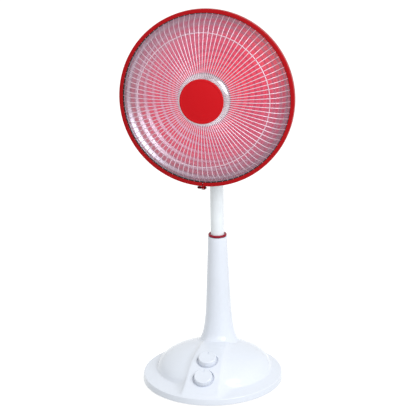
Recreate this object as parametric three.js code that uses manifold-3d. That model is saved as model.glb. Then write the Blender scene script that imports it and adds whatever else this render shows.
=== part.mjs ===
// Pedestal radiant heater: a reflector dish with a wire guard on a telescoping pole over a round base.
// Millimetres, +Z up, the front faces -Y, and the origin is on the floor under the centre of the base.
import * as THREE from 'three';
import { ConvexGeometry } from 'three/addons/geometries/ConvexGeometry.js';
import { mergeGeometries, mergeVertices } from 'three/addons/utils/BufferGeometryUtils.js';
import Module from 'manifold-3d';

const wasm = await Module();
wasm.setup();

// Clearances
const seatGap = 0.3;
const runGap = 0.4;
const overrun = 3;
const weldDistance = 0.001;

// Counts of flat sides on round shapes
const fineSides = 60;
const roundSides = 48;
const insideSides = 24;
const dishSides = 32;
const middleSides = 28;
const smallSides = 20;
const tinySides = 10;
const domeSteps = 6;
const ridgeSteps = 12;
const flareSteps = 5;

// Base cover: a skirt, a sloping brim, and a dome that is set back on it
const baseRadius = 165.2;
const skirtBottom = 2;
const skirtTop = 16.5;
const skirtLean = 1.9;
const skirtRound = 2;
const brimRise = 2.5;
const coverWall = 2.6;
const brimWidth = 30.2;
const domeRadius = baseRadius - brimWidth;
const domeHeight = 52;
const domeShift = 20;
const domeFillet = 5;
const domeStep = 0.6;

// The pole stands in the back half of the base
const poleInset = 86;
const poleY = baseRadius - poleInset;

// Console: a raised tongue from the foot of the column to the front brim, carrying the knobs
const consoleFrontInset = 5.2;
const consoleFrontY = consoleFrontInset - baseRadius;
const consoleFrontHeight = 16;
const consoleToeLength = 28;
const consoleToeY = consoleFrontY + consoleToeLength;
const consoleToeHeight = 28;
const lowerKnobInset = 53.5;
const lowerKnobY = consoleFrontY + lowerKnobInset;
const lowerKnobHeight = 42;
const knobSpacing = 48.5;
const upperKnobY = lowerKnobY + knobSpacing;
const upperKnobHeight = 66;
const consoleShoulderLength = 58;
const consoleShoulderY = upperKnobY + consoleShoulderLength;
const consoleShoulderHeight = 74;
const consoleBackGap = 19.2;
const consoleBackY = poleY - consoleBackGap;
const consoleBackHeight = 72.5;
const consoleBackHalfWidth = 31;
const consoleFrontHalfWidth = 48;

// Knobs and what they turn
const knobRadius = 21.8;
const knobTop = 12;
const knobTaper = 0.8;
const knobRound = 2;
const knobDishDepth = 1.2;
const pointerWidth = 2;
const pointerLength = 8;
const pointerDepth = 1.6;
const recessRadius = 25.5;
const recessDepth = 3.5;
const knobLift = 0.5;
const shaftRadius = 3;
const shaftReach = 10;
const timerSide = 42;
const timerDepth = 20;
const switchRadius = 14;
const switchDepth = 16;

// Underside
const footRadius = 12;
const footHeight = 3.7;
const footInset = 25.2;
const footCircle = baseRadius - footInset;
const footCount = 4;
const plateThickness = 1.5;
const weightInset = 15.2;
const weightRadius = baseRadius - weightInset;
const weightHeight = 7.2;

// Tip-over switch, terminal block and cord gland
const tipSwitchX = 75;
const tipSwitchY = 30;
const tipSwitchWidth = 24;
const tipSwitchDepth = 14;
const tipSwitchHeight = 24;
const plungerRadius = 4;
const plungerLength = 20;
const plungerTravel = 4;
const terminalX = -75;
const terminalY = 30;
const terminalWidth = 34;
const terminalDepth = 20;
const terminalHeight = 13;
const terminalWays = 3;
const terminalWireRadius = 2.2;
const glandHeight = 8.6;
const glandRadius = 4;
const glandBore = 3.2;
const glandFlange = 4.8;
const glandFlangeThickness = 0.6;

// Column: a tapered shroud round the guide tube, with a red ring on its mouth
const columnTop = 328;
const columnTopRadius = 22.2;
const columnWaist = 163;
const columnWaistRadius = 29.6;
const columnFlareHeight = 84;
const columnFlareRadius = 32;
const columnFootHeight = 41;
const columnFootRadius = 50;
const columnWall = 2;
const columnRingWire = 2.75;
const columnRingSides = 6;

// Pole: the inner tube slides in the guide tube through a friction bush
const poleRadius = 16;
const poleWall = 2;
const poleBottom = 215;
const guideWall = 1.5;
const bushWall = 1.8;
const bushLength = 25;
const stopLength = 15;
const flangeRadius = 45;
const flangeThickness = 4;
const flangeCollarHeight = 16;
const flangeCollarWall = 4;
const flangeBoltRadius = 2.7;
const flangeBoltCircle = 34;
const flangeBoltCount = 4;

// Neck: the housing on top of the pole, with the oscillation drive inside
const pivotHeight = 600;
const forkHeight = 32;
const forkDiscRadius = 22;
const forkDiscThickness = 6;
const forkArmRadius = 12;
const forkArmThickness = 5;
const postRadius = 8;
const postLength = 15;
const swivelBushWall = 2.6;
const swivelBushLength = 10;
const swivelFlangeRadius = 14;
const swivelFlangeThickness = 1.7;
const lidThickness = 3;
const neckWall = 2.6;
const neckFloor = 3;
const neckFrontRadius = 27;
const neckRearRadius = 29;
const neckSocketWall = 4;
const neckSocketLength = 42;
const neckShoulder = 24;
const cablePassRadius = 5;
const leverThickness = 3.7;
const leverHubRadius = 12;
const leverTipRadius = 8;
const leverScrewRadius = 2;
const leverScrewHead = 4;
const leverScrewHeadHeight = 3;
const leverScrewReach = 8;
const leverRise = 9.7;
const crankOffset = 20;
const crankRadius = 10;
const crankPinRadius = 2.5;
const crankPinSlack = 1.8;
const crankDiscRadius = 13.5;
const crankDiscThickness = 3;
const crankRise = 1;
const crankShaftRadius = 3;
const crankShaftLength = 9;
const motorRadius = 24;
const motorLift = 0.5;
const motorHeight = 18.5;
const motorBossRadius = 8;
const motorBossHeight = 3;

// Tilt joint: a bolt through the fork and the lug, tightened by a lobed knob
const tiltAngle = THREE.MathUtils.degToRad(7);
const boltRadius = 4;
const boltHeadRadius = 7;
const boltHeadThickness = 5;
const lugHalfWidth = 9.6;
const lugRadius = 11;
const lugBackLength = 24;
const lugFrontLength = 20;
const tiltKnobRadius = 15.5;
const tiltKnobLobe = 1.6;
const tiltKnobLobes = 5;
const tiltKnobThickness = 15;
const boltReach = 11;

// Head: distances along its axis are forward of the tilt pivot
const headAxisHeight = 76.6;
const rimForward = 109;
const rimRadius = 200;
const rimBand = 8.6;
const rimWall = 1.6;
const rimDepth = 16;
const rimRound = 1;
const rearLip = 8;
const dishRadius = 190;
const dishDepth = 86;
const dishWall = 0.8;
const dishFlatRadius = 36;
const rippleStart = 44;
const rippleEnd = 184;
const rippleHeight = 0.9;
const rippleCount = 7;

// Rim clamp: two ears under the split in the ring, drawn together by a thumb screw
const clampTurn = THREE.MathUtils.degToRad(-1.7);
const clampGap = 1.4;
const earThickness = 2;
const earReach = 9;
const earWidth = 10;
const clampScrewRadius = 1.6;
const clampHeadRadius = 3;
const clampHeadLength = 10;
const clampNutRadius = 3.4;
const clampNutThickness = 3;
const clampScrewEnd = 2;

// Guard: radial wires from the outer hoop to the hub, with one hoop behind them on the way
const wireCount = 92;
const wireWidth = 2;
const hoopWire = 1.8;
const wireBendRadius = 188.5;
const wireBendRise = 3;
const wireShoulderRadius = 172;
const wireShoulderRise = 33;
const wireCrownRadius = 120;
const wireCrownRise = 45.5;
const wireEndRadius = 44;
const wireEndRise = 49.7;
const midHoopRadius = 151;
const midHoopSides = 4;

// Hub: a red disc in front of the wires and a plate behind them
const hubRadius = 50;
const hubRise = 56.7;
const hubCrown = 2.4;
const hubRound = 2;
const hubPlateRadius = 47;
const hubPlateThickness = 1.5;
const hubBossRadius = 6;
const hubScrewRadius = 2;
const hubScrewHead = 4;
const hubScrewHeadHeight = 2.4;

// Element: a ceramic core with a wound coil and a polished cap in front of it
const socketRadius = 18;
const socketHead = 22.5;
const socketHeadLength = 13.7;
const socketTailLength = 30;
const coreBackRadius = 17;
const coreFrontRadius = 13.5;
const coreLength = 92;
const coreFlangeRadius = 19;
const coreFlangeThickness = 4;
const coreNeckRadius = 8;
const capRise = 36;
const capRadius = 61;
const capWall = 0.8;
const capRimDepth = 12;
const capRound = 6;
const capScrewRadius = 2;
const capScrewHead = 5;
const capScrewHeadHeight = 2.4;
const capScrewReach = 10;
const coilWire = 1.6;
const coilGap = 0.9;
const coilLoops = 9;
const coilStepsPerLoop = 12;
const coilSides = 5;
const coilLead = 4;
const coilBendStride = 2.8;
const coilBendTurns = [60, 30];

// Rear housing behind the dish
const holeGap = 0.5;
const mountPlateRadius = 48;
const mountPlateThickness = 2;
const housingRadius = 60;
const housingRearRadius = 55;
const housingRear = -30;
const housingWall = 2.6;
const housingFlange = 3;
const coverDepth = 16;
const coverShell = 2.2;
const ventCount = 7;
const ventHeight = 3.2;
const ventPitch = 9;
const ventRadius = 42;
const cutoutRadius = 9;
const cutoutDepth = 6;
const cutoutOffset = 38;
const cutoutTabWidth = 6;
const cutoutTabThickness = 0.8;
const cutoutTabLength = 7;

// Finishes
const finishes = {
  whitePlastic: { color: 0xe9eef8, roughness: 0.3, metalness: 0 },
  whitePaint: { color: 0xe6ebf4, roughness: 0.35, metalness: 0.1 },
  redPaint: { color: 0xc11a28, roughness: 0.35, metalness: 0.1 },
  redPlastic: { color: 0xce1f2a, roughness: 0.3, metalness: 0 },
  chrome: { color: 0xd9dadd, roughness: 0.12, metalness: 1 },
  aluminium: { color: 0xc8c9cc, roughness: 0.25, metalness: 1 },
  steel: { color: 0x9a9da2, roughness: 0.4, metalness: 1 },
  castIron: { color: 0x3a3a3c, roughness: 0.7, metalness: 0.6 },
  rubber: { color: 0x1c1c1e, roughness: 0.85, metalness: 0 },
  nylon: { color: 0xf1efe6, roughness: 0.5, metalness: 0 },
  blackPlastic: { color: 0x202124, roughness: 0.45, metalness: 0 },
  ceramic: { color: 0xefe9dc, roughness: 0.75, metalness: 0 },
  hotWire: { color: 0xff5a2a, roughness: 0.5, metalness: 0.4, emissive: 0xff3c14 },
};

// Closed geometry and solids

function weld(geometry) {
  const bare = geometry.clone();
  bare.deleteAttribute('normal');
  bare.deleteAttribute('uv');
  const merged = mergeVertices(bare, weldDistance);
  const kept = [];
  const index = merged.index.array;
  for (let i = 0; i < index.length; i += 3) {
    const [a, b, c] = [index[i], index[i + 1], index[i + 2]];
    if (a !== b && b !== c && c !== a) kept.push(a, b, c);
  }
  merged.setIndex(kept);
  return merged;
}

function signedVolume(geometry) {
  const position = geometry.attributes.position;
  const index = geometry.index.array;
  const corner = [0, 1, 2].map(() => new THREE.Vector3());
  let volume = 0;
  for (let i = 0; i < index.length; i += 3) {
    corner.forEach((vertex, k) => vertex.fromBufferAttribute(position, index[i + k]));
    volume += corner[0].dot(corner[1].clone().cross(corner[2]));
  }
  return volume;
}

function facingOut(geometry) {
  const welded = weld(geometry);
  if (signedVolume(welded) < 0) {
    const index = welded.index.array;
    for (let i = 0; i < index.length; i += 3) {
      [index[i], index[i + 1]] = [index[i + 1], index[i]];
    }
  }
  return welded;
}

function solid(shape) {
  if (!shape.isBufferGeometry) return shape;
  const closed = facingOut(shape);
  return new wasm.Manifold(new wasm.Mesh({
    numProp: 3,
    vertProperties: Float32Array.from(closed.attributes.position.array),
    triVerts: Uint32Array.from(closed.index.array),
  }));
}

function geometryOf(shape) {
  if (shape.isBufferGeometry) return facingOut(shape);
  const mesh = shape.getMesh();
  const geometry = new THREE.BufferGeometry();
  geometry.setAttribute('position', new THREE.BufferAttribute(mesh.vertProperties, 3));
  geometry.setIndex(new THREE.BufferAttribute(mesh.triVerts, 1));
  return geometry;
}

const joined = (...shapes) => shapes.map(solid).reduce((sum, next) => sum.add(next));
const cut = (body, ...tools) => tools.map(solid).reduce((rest, tool) => rest.subtract(tool), solid(body));
const common = (first, second) => solid(first).intersect(solid(second));

function piece(name, shape, finish, parent) {
  const geometry = geometryOf(shape);
  geometry.computeVertexNormals();
  const mesh = new THREE.Mesh(geometry, new THREE.MeshStandardMaterial(finishes[finish]));
  mesh.name = name;
  parent.add(mesh);
}

// Shapes

// A profile of [radius, height] points that starts and ends on the axis, turned about Z.
function turned(profile, sides = roundSides) {
  const points = profile.map(([radius, height]) => new THREE.Vector2(radius, height));
  return new THREE.LatheGeometry(points, sides).rotateX(Math.PI / 2);
}

// A closed profile that stays clear of the axis.
function turnedRing(profile, sides = roundSides) {
  return turned([...profile, profile[0]], sides);
}

function rod(radius, bottom, top, sides = smallSides) {
  return turned([[0, bottom], [radius, bottom], [radius, top], [0, top]], sides);
}

function sleeve(outer, inner, bottom, top, sides = smallSides) {
  return turnedRing([[outer, bottom], [outer, top], [inner, top], [inner, bottom]], sides);
}

function hoop(radius, wire, sides, segments) {
  return new THREE.TorusGeometry(radius, wire, sides, segments);
}

// A box with its low and high corner on each axis.
function block([lowX, highX], [lowY, highY], [lowZ, highZ]) {
  const box = new THREE.BoxGeometry(highX - lowX, highY - lowY, highZ - lowZ);
  return box.translate((lowX + highX) / 2, (lowY + highY) / 2, (lowZ + highZ) / 2);
}

function polygon(points) {
  return new THREE.Shape(points.map(([x, y]) => new THREE.Vector2(x, y)));
}

function extruded(shape, bottom, top, sides = smallSides) {
  const settings = { depth: top - bottom, bevelEnabled: false, curveSegments: sides / 2 };
  return new THREE.ExtrudeGeometry(shape, settings).translate(0, 0, bottom);
}

// A shape drawn in Y and Z, extruded along X.
function extrudedAcross(shape, left, right, sides = smallSides) {
  const turn = new THREE.Matrix4().makeBasis(
    new THREE.Vector3(0, 1, 0),
    new THREE.Vector3(0, 0, 1),
    new THREE.Vector3(1, 0, 0),
  );
  return extruded(shape, left, right, sides).applyMatrix4(turn);
}

// A rod along X, about a point given in Y and Z.
function crossRod(radius, left, right, y, z, sides = smallSides) {
  return rod(radius, left, right, sides).rotateY(Math.PI / 2).translate(0, y, z);
}

// Two half circles joined by straight sides, along Y.
function taperedSlot(lowY, lowRadius, highY, highRadius) {
  const shape = new THREE.Shape();
  shape.absarc(0, highY, highRadius, 0, Math.PI, false);
  shape.absarc(0, lowY, lowRadius, Math.PI, 2 * Math.PI, false);
  shape.closePath();
  return shape;
}

function around(count, make) {
  return Array.from({ length: count }, (_, i) => make((2 * Math.PI * i) / count, i));
}

// Groups that place the pieces

const heater = new THREE.Group();
const base = new THREE.Group();
const pole = new THREE.Group();
pole.position.y = poleY;
const crank = new THREE.Group();
crank.position.y = poleY + crankOffset;
const head = new THREE.Group();
head.position.set(0, poleY, pivotHeight);
head.rotation.x = Math.PI / 2 - tiltAngle;
const bowl = new THREE.Group();
bowl.position.y = headAxisHeight;
head.add(bowl);
heater.add(base, pole, crank, head);

// Base cover

// The skirt and brim, and the dome on them, each shrunk or grown by an offset.
const skirtSlope = skirtLean / (skirtTop - skirtRound - skirtBottom);
const skirtAt = (height) => baseRadius - skirtSlope * (height - skirtBottom);

function skirt(offset, bottom, sides) {
  const shoulder = skirtTop - skirtRound + offset;
  return turned([
    [0, bottom],
    [skirtAt(bottom) + offset, bottom],
    [skirtAt(shoulder) + offset, shoulder],
    [skirtAt(shoulder) + offset - skirtRound, skirtTop + offset],
    [domeRadius + domeFillet, skirtTop + brimRise + offset],
    [domeRadius - domeShift - overrun, skirtTop + brimRise + offset],
    [0, skirtTop + offset],
  ], sides);
}

function dome(offset, bottom, sides) {
  const foot = skirtTop + brimRise + domeStep;
  const footRing = domeRadius + domeFillet + offset;
  const profile = [[0, bottom], [footRing, bottom], [footRing, foot + offset]];
  for (let i = 1; i <= domeSteps; i += 1) {
    const angle = (Math.PI / 2) * (i / domeSteps);
    const radius = (domeRadius + offset) * Math.cos(angle);
    profile.push([i === domeSteps ? 0 : radius, foot + (domeHeight + offset) * Math.sin(angle)]);
  }
  return turned(profile, sides).translate(0, domeShift, 0);
}

const ridge = new THREE.SplineCurve([
  new THREE.Vector2(consoleBackY, consoleBackHeight),
  new THREE.Vector2(consoleShoulderY, consoleShoulderHeight),
  new THREE.Vector2(upperKnobY, upperKnobHeight),
  new THREE.Vector2(lowerKnobY, lowerKnobHeight),
  new THREE.Vector2(consoleToeY, consoleToeHeight),
  new THREE.Vector2(consoleFrontY, consoleFrontHeight),
]);
const ridgeSpans = ridge.points.length - 1;

function tongue(offset, bottom, sides) {
  const top = ridge.getPoints(ridgeSteps).map((point) => [point.x, point.y + offset]);
  const side = polygon([...top, [consoleFrontY, bottom], [consoleBackY, bottom]]);
  const plan = polygon([
    [consoleBackHalfWidth + offset, consoleBackY + overrun],
    [-consoleBackHalfWidth - offset, consoleBackY + overrun],
    [-consoleFrontHalfWidth - offset, consoleFrontY - overrun],
    [consoleFrontHalfWidth + offset, consoleFrontY - overrun],
  ]);
  const width = consoleFrontHalfWidth + overrun;
  const height = consoleShoulderHeight + overrun;
  const within = rod(skirtAt(skirtTop) - skirtRound + offset, bottom - overrun, height, sides);
  const ridged = common(extrudedAcross(side, -width, width), within);
  return common(ridged, extruded(plan, bottom - overrun, height + overrun));
}

function coverForm(offset, bottom, sides = roundSides) {
  return joined(skirt(offset, bottom, sides), dome(offset, bottom, sides), tongue(offset, bottom, sides));
}

// A knob's seat: its frame stands square to the console's surface at the knob's middle.
function seatFrame(pointIndex) {
  const place = ridge.points[pointIndex];
  const along = ridge.getTangent(pointIndex / ridgeSpans);
  const lean = Math.atan2(-along.y, -along.x);
  const frame = new THREE.Group();
  frame.position.set(0, place.x, place.y);
  frame.rotation.x = lean;
  frame.updateMatrix();
  return frame;
}

const upperSeat = seatFrame(2);
const lowerSeat = seatFrame(3);
base.add(upperSeat, lowerSeat);
const inSeat = (shape, seat) => shape.applyMatrix4(seat.matrix);

const seatFloor = -recessDepth;
const seatUnderside = seatFloor - coverWall;
const padRadius = recessRadius + coverWall;
const seatPad = (seat) => inSeat(rod(padRadius, seatUnderside, seatFloor + coverWall / 2, middleSides), seat);
const recessTop = knobTop + recessRadius;
const seatRecess = (seat) => inSeat(rod(recessRadius, seatFloor, recessTop, middleSides), seat);
const shaftHole = (seat) => {
  const bore = rod(shaftRadius + runGap, seatUnderside - overrun, seatFloor + overrun, tinySides);
  return inSeat(bore, seat);
};

const guideInner = poleRadius + runGap / 2 + bushWall + seatGap;
const guideOuter = guideInner + guideWall;
const poleHole = rod(guideOuter + runGap, skirtBottom, consoleShoulderHeight, middleSides)
  .translate(0, poleY, 0);
const glandStart = baseRadius - skirtLean - coverWall - 2 * overrun;
const atGland = (shape) => shape.rotateX(-Math.PI / 2).translate(0, 0, glandHeight);
const glandHole = (radius) => atGland(rod(radius, glandStart, baseRadius + overrun, tinySides));

const coverShape = cut(
  joined(
    cut(coverForm(0, skirtBottom), coverForm(-coverWall, skirtBottom - overrun, insideSides)),
    seatPad(upperSeat),
    seatPad(lowerSeat),
  ),
  seatRecess(upperSeat),
  seatRecess(lowerSeat),
  shaftHole(upperSeat),
  shaftHole(lowerSeat),
  poleHole,
  glandHole(glandRadius + seatGap),
);
piece('base_cover', coverShape, 'whitePlastic', base);

// Knobs, timer and power switch

function knobShape() {
  const bottom = seatFloor + knobLift;
  const topRadius = knobRadius - knobTaper - knobRound;
  const cap = turned([
    [0, bottom],
    [knobRadius, bottom],
    [knobRadius - knobTaper, knobTop - knobRound],
    [topRadius, knobTop],
    [topRadius - knobRound, knobTop - knobDishDepth / 2],
    [0, knobTop - knobDishDepth],
  ], middleSides);
  const shaft = rod(shaftRadius, seatUnderside - shaftReach, bottom + knobLift, tinySides);
  const pointer = block(
    [-pointerWidth / 2, pointerWidth / 2],
    [topRadius - pointerLength, knobRadius + overrun],
    [knobTop - pointerDepth, knobTop + overrun],
  );
  return cut(joined(cap, shaft), pointer);
}

const boreEnd = seatUnderside - shaftReach - seatGap - overrun;
const shaftBore = () => rod(shaftRadius + runGap, boreEnd, 0, tinySides);
const half = timerSide / 2;
const bodyTop = seatUnderside - seatGap;
const timerBox = block([-half, half], [-half, half], [bodyTop - timerDepth, bodyTop]);
const switchDrum = rod(switchRadius, bodyTop - switchDepth, bodyTop);
piece('timer_knob', knobShape(), 'whitePlastic', upperSeat);
piece('power_knob', knobShape(), 'whitePlastic', lowerSeat);
piece('timer_body', cut(timerBox, shaftBore()), 'steel', upperSeat);
piece('power_switch_body', cut(switchDrum, shaftBore()), 'blackPlastic', lowerSeat);

// Underside: plate, weight and feet

const plateBottom = footHeight + seatGap;
const plateTop = plateBottom + plateThickness;
const insideShare = Math.cos(Math.PI / insideSides);
const plateRadius = (skirtAt(plateTop) - coverWall) * insideShare - seatGap;
const weightBottom = plateTop + seatGap;
const weightTop = weightBottom + weightHeight;
const atTipSwitch = (shape) => shape.translate(tipSwitchX, tipSwitchY, 0);
const holeBottom = plateBottom - overrun;
const holeTop = weightTop + overrun;
const plungerHole = () => atTipSwitch(rod(plungerRadius + runGap, holeBottom, holeTop, tinySides));
const flangeHole = rod(flangeRadius + overrun, holeBottom, holeTop, middleSides).translate(0, poleY, 0);

const plateDisc = rod(plateRadius, plateBottom, plateTop, roundSides);
const plateNotch = glandHole(glandFlange + runGap);
piece('base_plate', cut(plateDisc, plungerHole(), plateNotch), 'steel', base);
const weightDisc = rod(weightRadius, weightBottom, weightTop, middleSides);
piece('base_weight', cut(weightDisc, flangeHole, plungerHole()), 'castIron', base);
around(footCount, (angle, i) => {
  const turn = angle + Math.PI / footCount;
  const foot = rod(footRadius, 0, footHeight, smallSides);
  foot.translate(footCircle * Math.cos(turn), footCircle * Math.sin(turn), 0);
  piece(`foot_${i + 1}`, foot, 'rubber', base);
});

// Tip-over switch, with a plunger that the floor holds up

const onWeight = weightTop + seatGap;
const tipBody = block(
  [tipSwitchX - tipSwitchWidth / 2, tipSwitchX + tipSwitchWidth / 2],
  [tipSwitchY - tipSwitchDepth / 2, tipSwitchY + tipSwitchDepth / 2],
  [onWeight, onWeight + tipSwitchHeight],
);
const tipBore = atTipSwitch(rod(plungerRadius + runGap, 0, plungerLength + runGap, tinySides));
piece('tip_switch_body', cut(tipBody, tipBore), 'blackPlastic', base);
piece('tip_plunger', atTipSwitch(rod(plungerRadius, 0, plungerLength, tinySides)), 'redPlastic', base);

// Terminal block and cord gland

const terminalWay = terminalWidth / terminalWays;
const terminalHoles = Array.from({ length: terminalWays }, (_, i) => {
  const x = terminalX - terminalWidth / 2 + (i + 1 / 2) * terminalWay;
  const reach = terminalDepth / 2 + overrun;
  return rod(terminalWireRadius, -reach, reach, tinySides)
    .rotateX(Math.PI / 2)
    .translate(x, terminalY, onWeight + terminalHeight / 2);
});
const terminalBox = block(
  [terminalX - terminalWidth / 2, terminalX + terminalWidth / 2],
  [terminalY - terminalDepth / 2, terminalY + terminalDepth / 2],
  [onWeight, onWeight + terminalHeight],
);
piece('terminal_block', cut(terminalBox, ...terminalHoles), 'nylon', base);

const glandInner = (skirtAt(skirtTop) - coverWall - skirtRound) * insideShare - seatGap;
const glandOuter = skirtAt(glandHeight - glandFlange) + seatGap;
const glandShape = turnedRing([
  [glandFlange, glandInner - glandFlangeThickness],
  [glandFlange, glandInner],
  [glandRadius, glandInner],
  [glandRadius, glandOuter],
  [glandFlange, glandOuter],
  [glandFlange, glandOuter + glandFlangeThickness],
  [glandBore, glandOuter + glandFlangeThickness],
  [glandBore, glandInner - glandFlangeThickness],
], tinySides);
piece('cord_gland', atGland(glandShape), 'rubber', base);

// Column, guide tube and their fixings

const flareCurve = new THREE.QuadraticBezierCurve(
  new THREE.Vector2(columnWaistRadius, columnWaist),
  new THREE.Vector2(columnFlareRadius, columnFlareHeight),
  new THREE.Vector2(columnFootRadius, columnFootHeight),
);
const flarePoints = flareCurve.getPoints(flareSteps).map((point) => [point.x, point.y]);
const columnOutside = [[columnTopRadius, columnTop], ...flarePoints];
const columnInside = columnOutside.map(([radius, height]) => [radius - columnWall, height]).reverse();
const columnShroud = turnedRing([...columnOutside, ...columnInside], middleSides);
const coverSpace = coverForm(seatGap, skirtBottom).translate([0, -poleY, 0]);
piece('column', cut(columnShroud, coverSpace), 'whitePlastic', pole);

const ringCentre = columnTop + seatGap + columnRingWire;
const ringRadius = poleRadius + runGap + columnRingWire;
const columnRing = hoop(ringRadius, columnRingWire, columnRingSides, middleSides);
piece('column_ring', columnRing.translate(0, 0, ringCentre), 'redPlastic', pole);

const guideTop = columnTop - seatGap * 2;
const guideBottom = weightBottom;
piece('guide_tube', sleeve(guideOuter, guideInner, guideBottom, guideTop), 'steel', pole);
const bushInner = poleRadius + runGap / 2;
const bushOuter = guideInner - seatGap;
piece('pole_bush', sleeve(bushOuter, bushInner, guideTop - bushLength, guideTop), 'nylon', pole);

const flangeInner = guideOuter + seatGap;
const collarRadius = flangeInner + flangeCollarWall;
const flangeTurned = turnedRing([
  [flangeRadius, weightBottom],
  [flangeRadius, weightBottom + flangeThickness],
  [collarRadius, weightBottom + flangeThickness],
  [collarRadius, weightBottom + flangeCollarHeight],
  [flangeInner, weightBottom + flangeCollarHeight],
  [flangeInner, weightBottom],
], middleSides);
const flangeBoltTop = weightBottom + flangeThickness + overrun;
const flangeBolts = around(flangeBoltCount, (angle) => {
  const bolt = rod(flangeBoltRadius, weightBottom - overrun, flangeBoltTop, tinySides);
  return bolt.translate(flangeBoltCircle * Math.cos(angle), flangeBoltCircle * Math.sin(angle), 0);
});
piece('guide_flange', cut(flangeTurned, ...flangeBolts), 'steel', pole);

// Heights of the neck's stack, from the tilt pivot down

const forkBottom = pivotHeight - forkHeight;
const bushFlangeTop = forkBottom - seatGap;
const lidTop = bushFlangeTop - swivelFlangeThickness - seatGap;
const lidBottom = lidTop - lidThickness;
const postBottom = forkBottom - postLength;
const leverTop = postBottom - seatGap;
const leverBottom = leverTop - leverThickness;
const crankTop = leverBottom - crankRise;
const crankBottom = crankTop - crankDiscThickness;
const motorTop = crankBottom - motorLift;
const motorBottom = motorTop - motorHeight;
const floorTop = motorBottom - seatGap;
const floorBottom = floorTop - neckFloor;
const poleTop = floorBottom - seatGap;

// Pole, with the stop ring that meets the friction bush when the pole is fully up

const stopTop = guideTop - bushLength - seatGap;
piece('inner_pole', sleeve(poleRadius, poleRadius - poleWall, poleBottom, poleTop), 'whitePaint', pole);
piece('pole_stop', sleeve(bushOuter, poleRadius + seatGap, stopTop - stopLength, stopTop), 'nylon', pole);

// Neck housing and lid

const neckOutline = (offset) => {
  return taperedSlot(0, neckFrontRadius + offset, crankOffset, neckRearRadius + offset);
};
const outlinePoints = (offset, height) => neckOutline(offset)
  .getPoints(smallSides / 2)
  .map((point) => new THREE.Vector3(point.x, point.y, height));
const circlePoints = (radius, height) => around(smallSides, (angle) => {
  return new THREE.Vector3(radius * Math.cos(angle), radius * Math.sin(angle), height);
});
const socketInner = poleRadius + seatGap;
const socketOuter = socketInner + neckSocketWall;
const socketBottom = floorBottom - neckSocketLength;
const housingTop = lidBottom - seatGap;
const neckForm = new ConvexGeometry([
  ...circlePoints(socketOuter, floorBottom - neckShoulder),
  ...outlinePoints(0, floorTop),
  ...outlinePoints(0, housingTop),
]);
const neckShape = cut(
  joined(neckForm, rod(socketOuter, socketBottom, floorTop)),
  extruded(neckOutline(-neckWall), floorTop, housingTop + overrun),
  rod(socketInner, socketBottom - overrun, floorBottom),
  rod(cablePassRadius, floorBottom - overrun, floorTop + overrun, tinySides),
);
piece('neck_housing', neckShape, 'whitePlastic', pole);

const swivelBushInner = postRadius + runGap;
const swivelBushOuter = swivelBushInner + swivelBushWall;
const lidShape = cut(
  extruded(neckOutline(0), lidBottom, lidTop),
  rod(swivelBushOuter + seatGap, lidBottom - overrun, lidTop + overrun),
);
piece('neck_lid', lidShape, 'whitePlastic', pole);
const swivelBush = turnedRing([
  [swivelBushOuter, bushFlangeTop - swivelBushLength],
  [swivelBushOuter, lidTop + seatGap],
  [swivelFlangeRadius, lidTop + seatGap],
  [swivelFlangeRadius, bushFlangeTop],
  [swivelBushInner, bushFlangeTop],
  [swivelBushInner, bushFlangeTop - swivelBushLength],
], smallSides);
piece('swivel_bush', swivelBush, 'nylon', pole);

// Oscillation drive: the motor's crank pin runs in the slot of the swing lever

const motorShape = cut(
  rod(motorRadius, motorBottom, motorTop, middleSides),
  sleeve(motorRadius + overrun, motorBossRadius, motorTop - motorBossHeight, motorTop + overrun),
  rod(crankShaftRadius + runGap, crankBottom - crankShaftLength - runGap, motorTop + overrun, tinySides),
);
piece('oscillation_motor', motorShape, 'steel', crank);
const crankShape = joined(
  rod(crankDiscRadius, crankBottom, crankTop),
  rod(crankShaftRadius, crankBottom - crankShaftLength, crankTop, tinySides),
  rod(crankPinRadius, crankBottom, leverTop - seatGap, tinySides).translate(0, crankRadius, 0),
);
piece('crank_disc', crankShape, 'nylon', crank);

const slotHalfWidth = crankPinRadius + crankPinSlack;
const slotNear = crankOffset - crankRadius;
const slotFar = crankOffset + crankRadius;
const screwHole = leverScrewRadius + seatGap;
const leverSlot = taperedSlot(slotNear, slotHalfWidth, slotFar, slotHalfWidth);
const leverShape = cut(
  extruded(taperedSlot(0, leverHubRadius, slotFar, leverTipRadius), leverBottom, leverTop),
  extruded(leverSlot, leverBottom - overrun, leverTop + overrun),
  rod(screwHole, leverBottom - overrun, leverTop + overrun, tinySides),
);
piece('swing_lever', leverShape, 'steel', pole);
const screwTop = postBottom + leverScrewReach;
const leverScrew = joined(
  rod(leverScrewHead, leverBottom - seatGap - leverScrewHeadHeight, leverBottom - seatGap, tinySides),
  rod(leverScrewRadius, leverBottom - seatGap - leverScrewHeadHeight, screwTop, tinySides),
);
piece('lever_screw', leverScrew, 'steel', pole);

// Tilt fork, bolt and knob

const armInner = lugHalfWidth + seatGap;
const armOuter = armInner + forkArmThickness;
function forkArm(left) {
  const arm = new THREE.Shape();
  arm.moveTo(forkArmRadius, forkBottom);
  arm.absarc(0, pivotHeight, forkArmRadius, 0, Math.PI, false);
  arm.lineTo(-forkArmRadius, forkBottom);
  arm.closePath();
  return extrudedAcross(arm, left, left + forkArmThickness);
}
const forkShape = cut(
  joined(
    rod(forkDiscRadius, forkBottom, forkBottom + forkDiscThickness),
    rod(postRadius, postBottom, forkBottom + forkDiscThickness / 2),
    forkArm(armInner),
    forkArm(-armOuter),
  ),
  crossRod(boltRadius + seatGap, -armOuter - overrun, armOuter + overrun, 0, pivotHeight),
  rod(screwHole, postBottom - overrun, screwTop + seatGap, tinySides),
);
piece('tilt_fork', forkShape, 'steel', pole);

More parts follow.
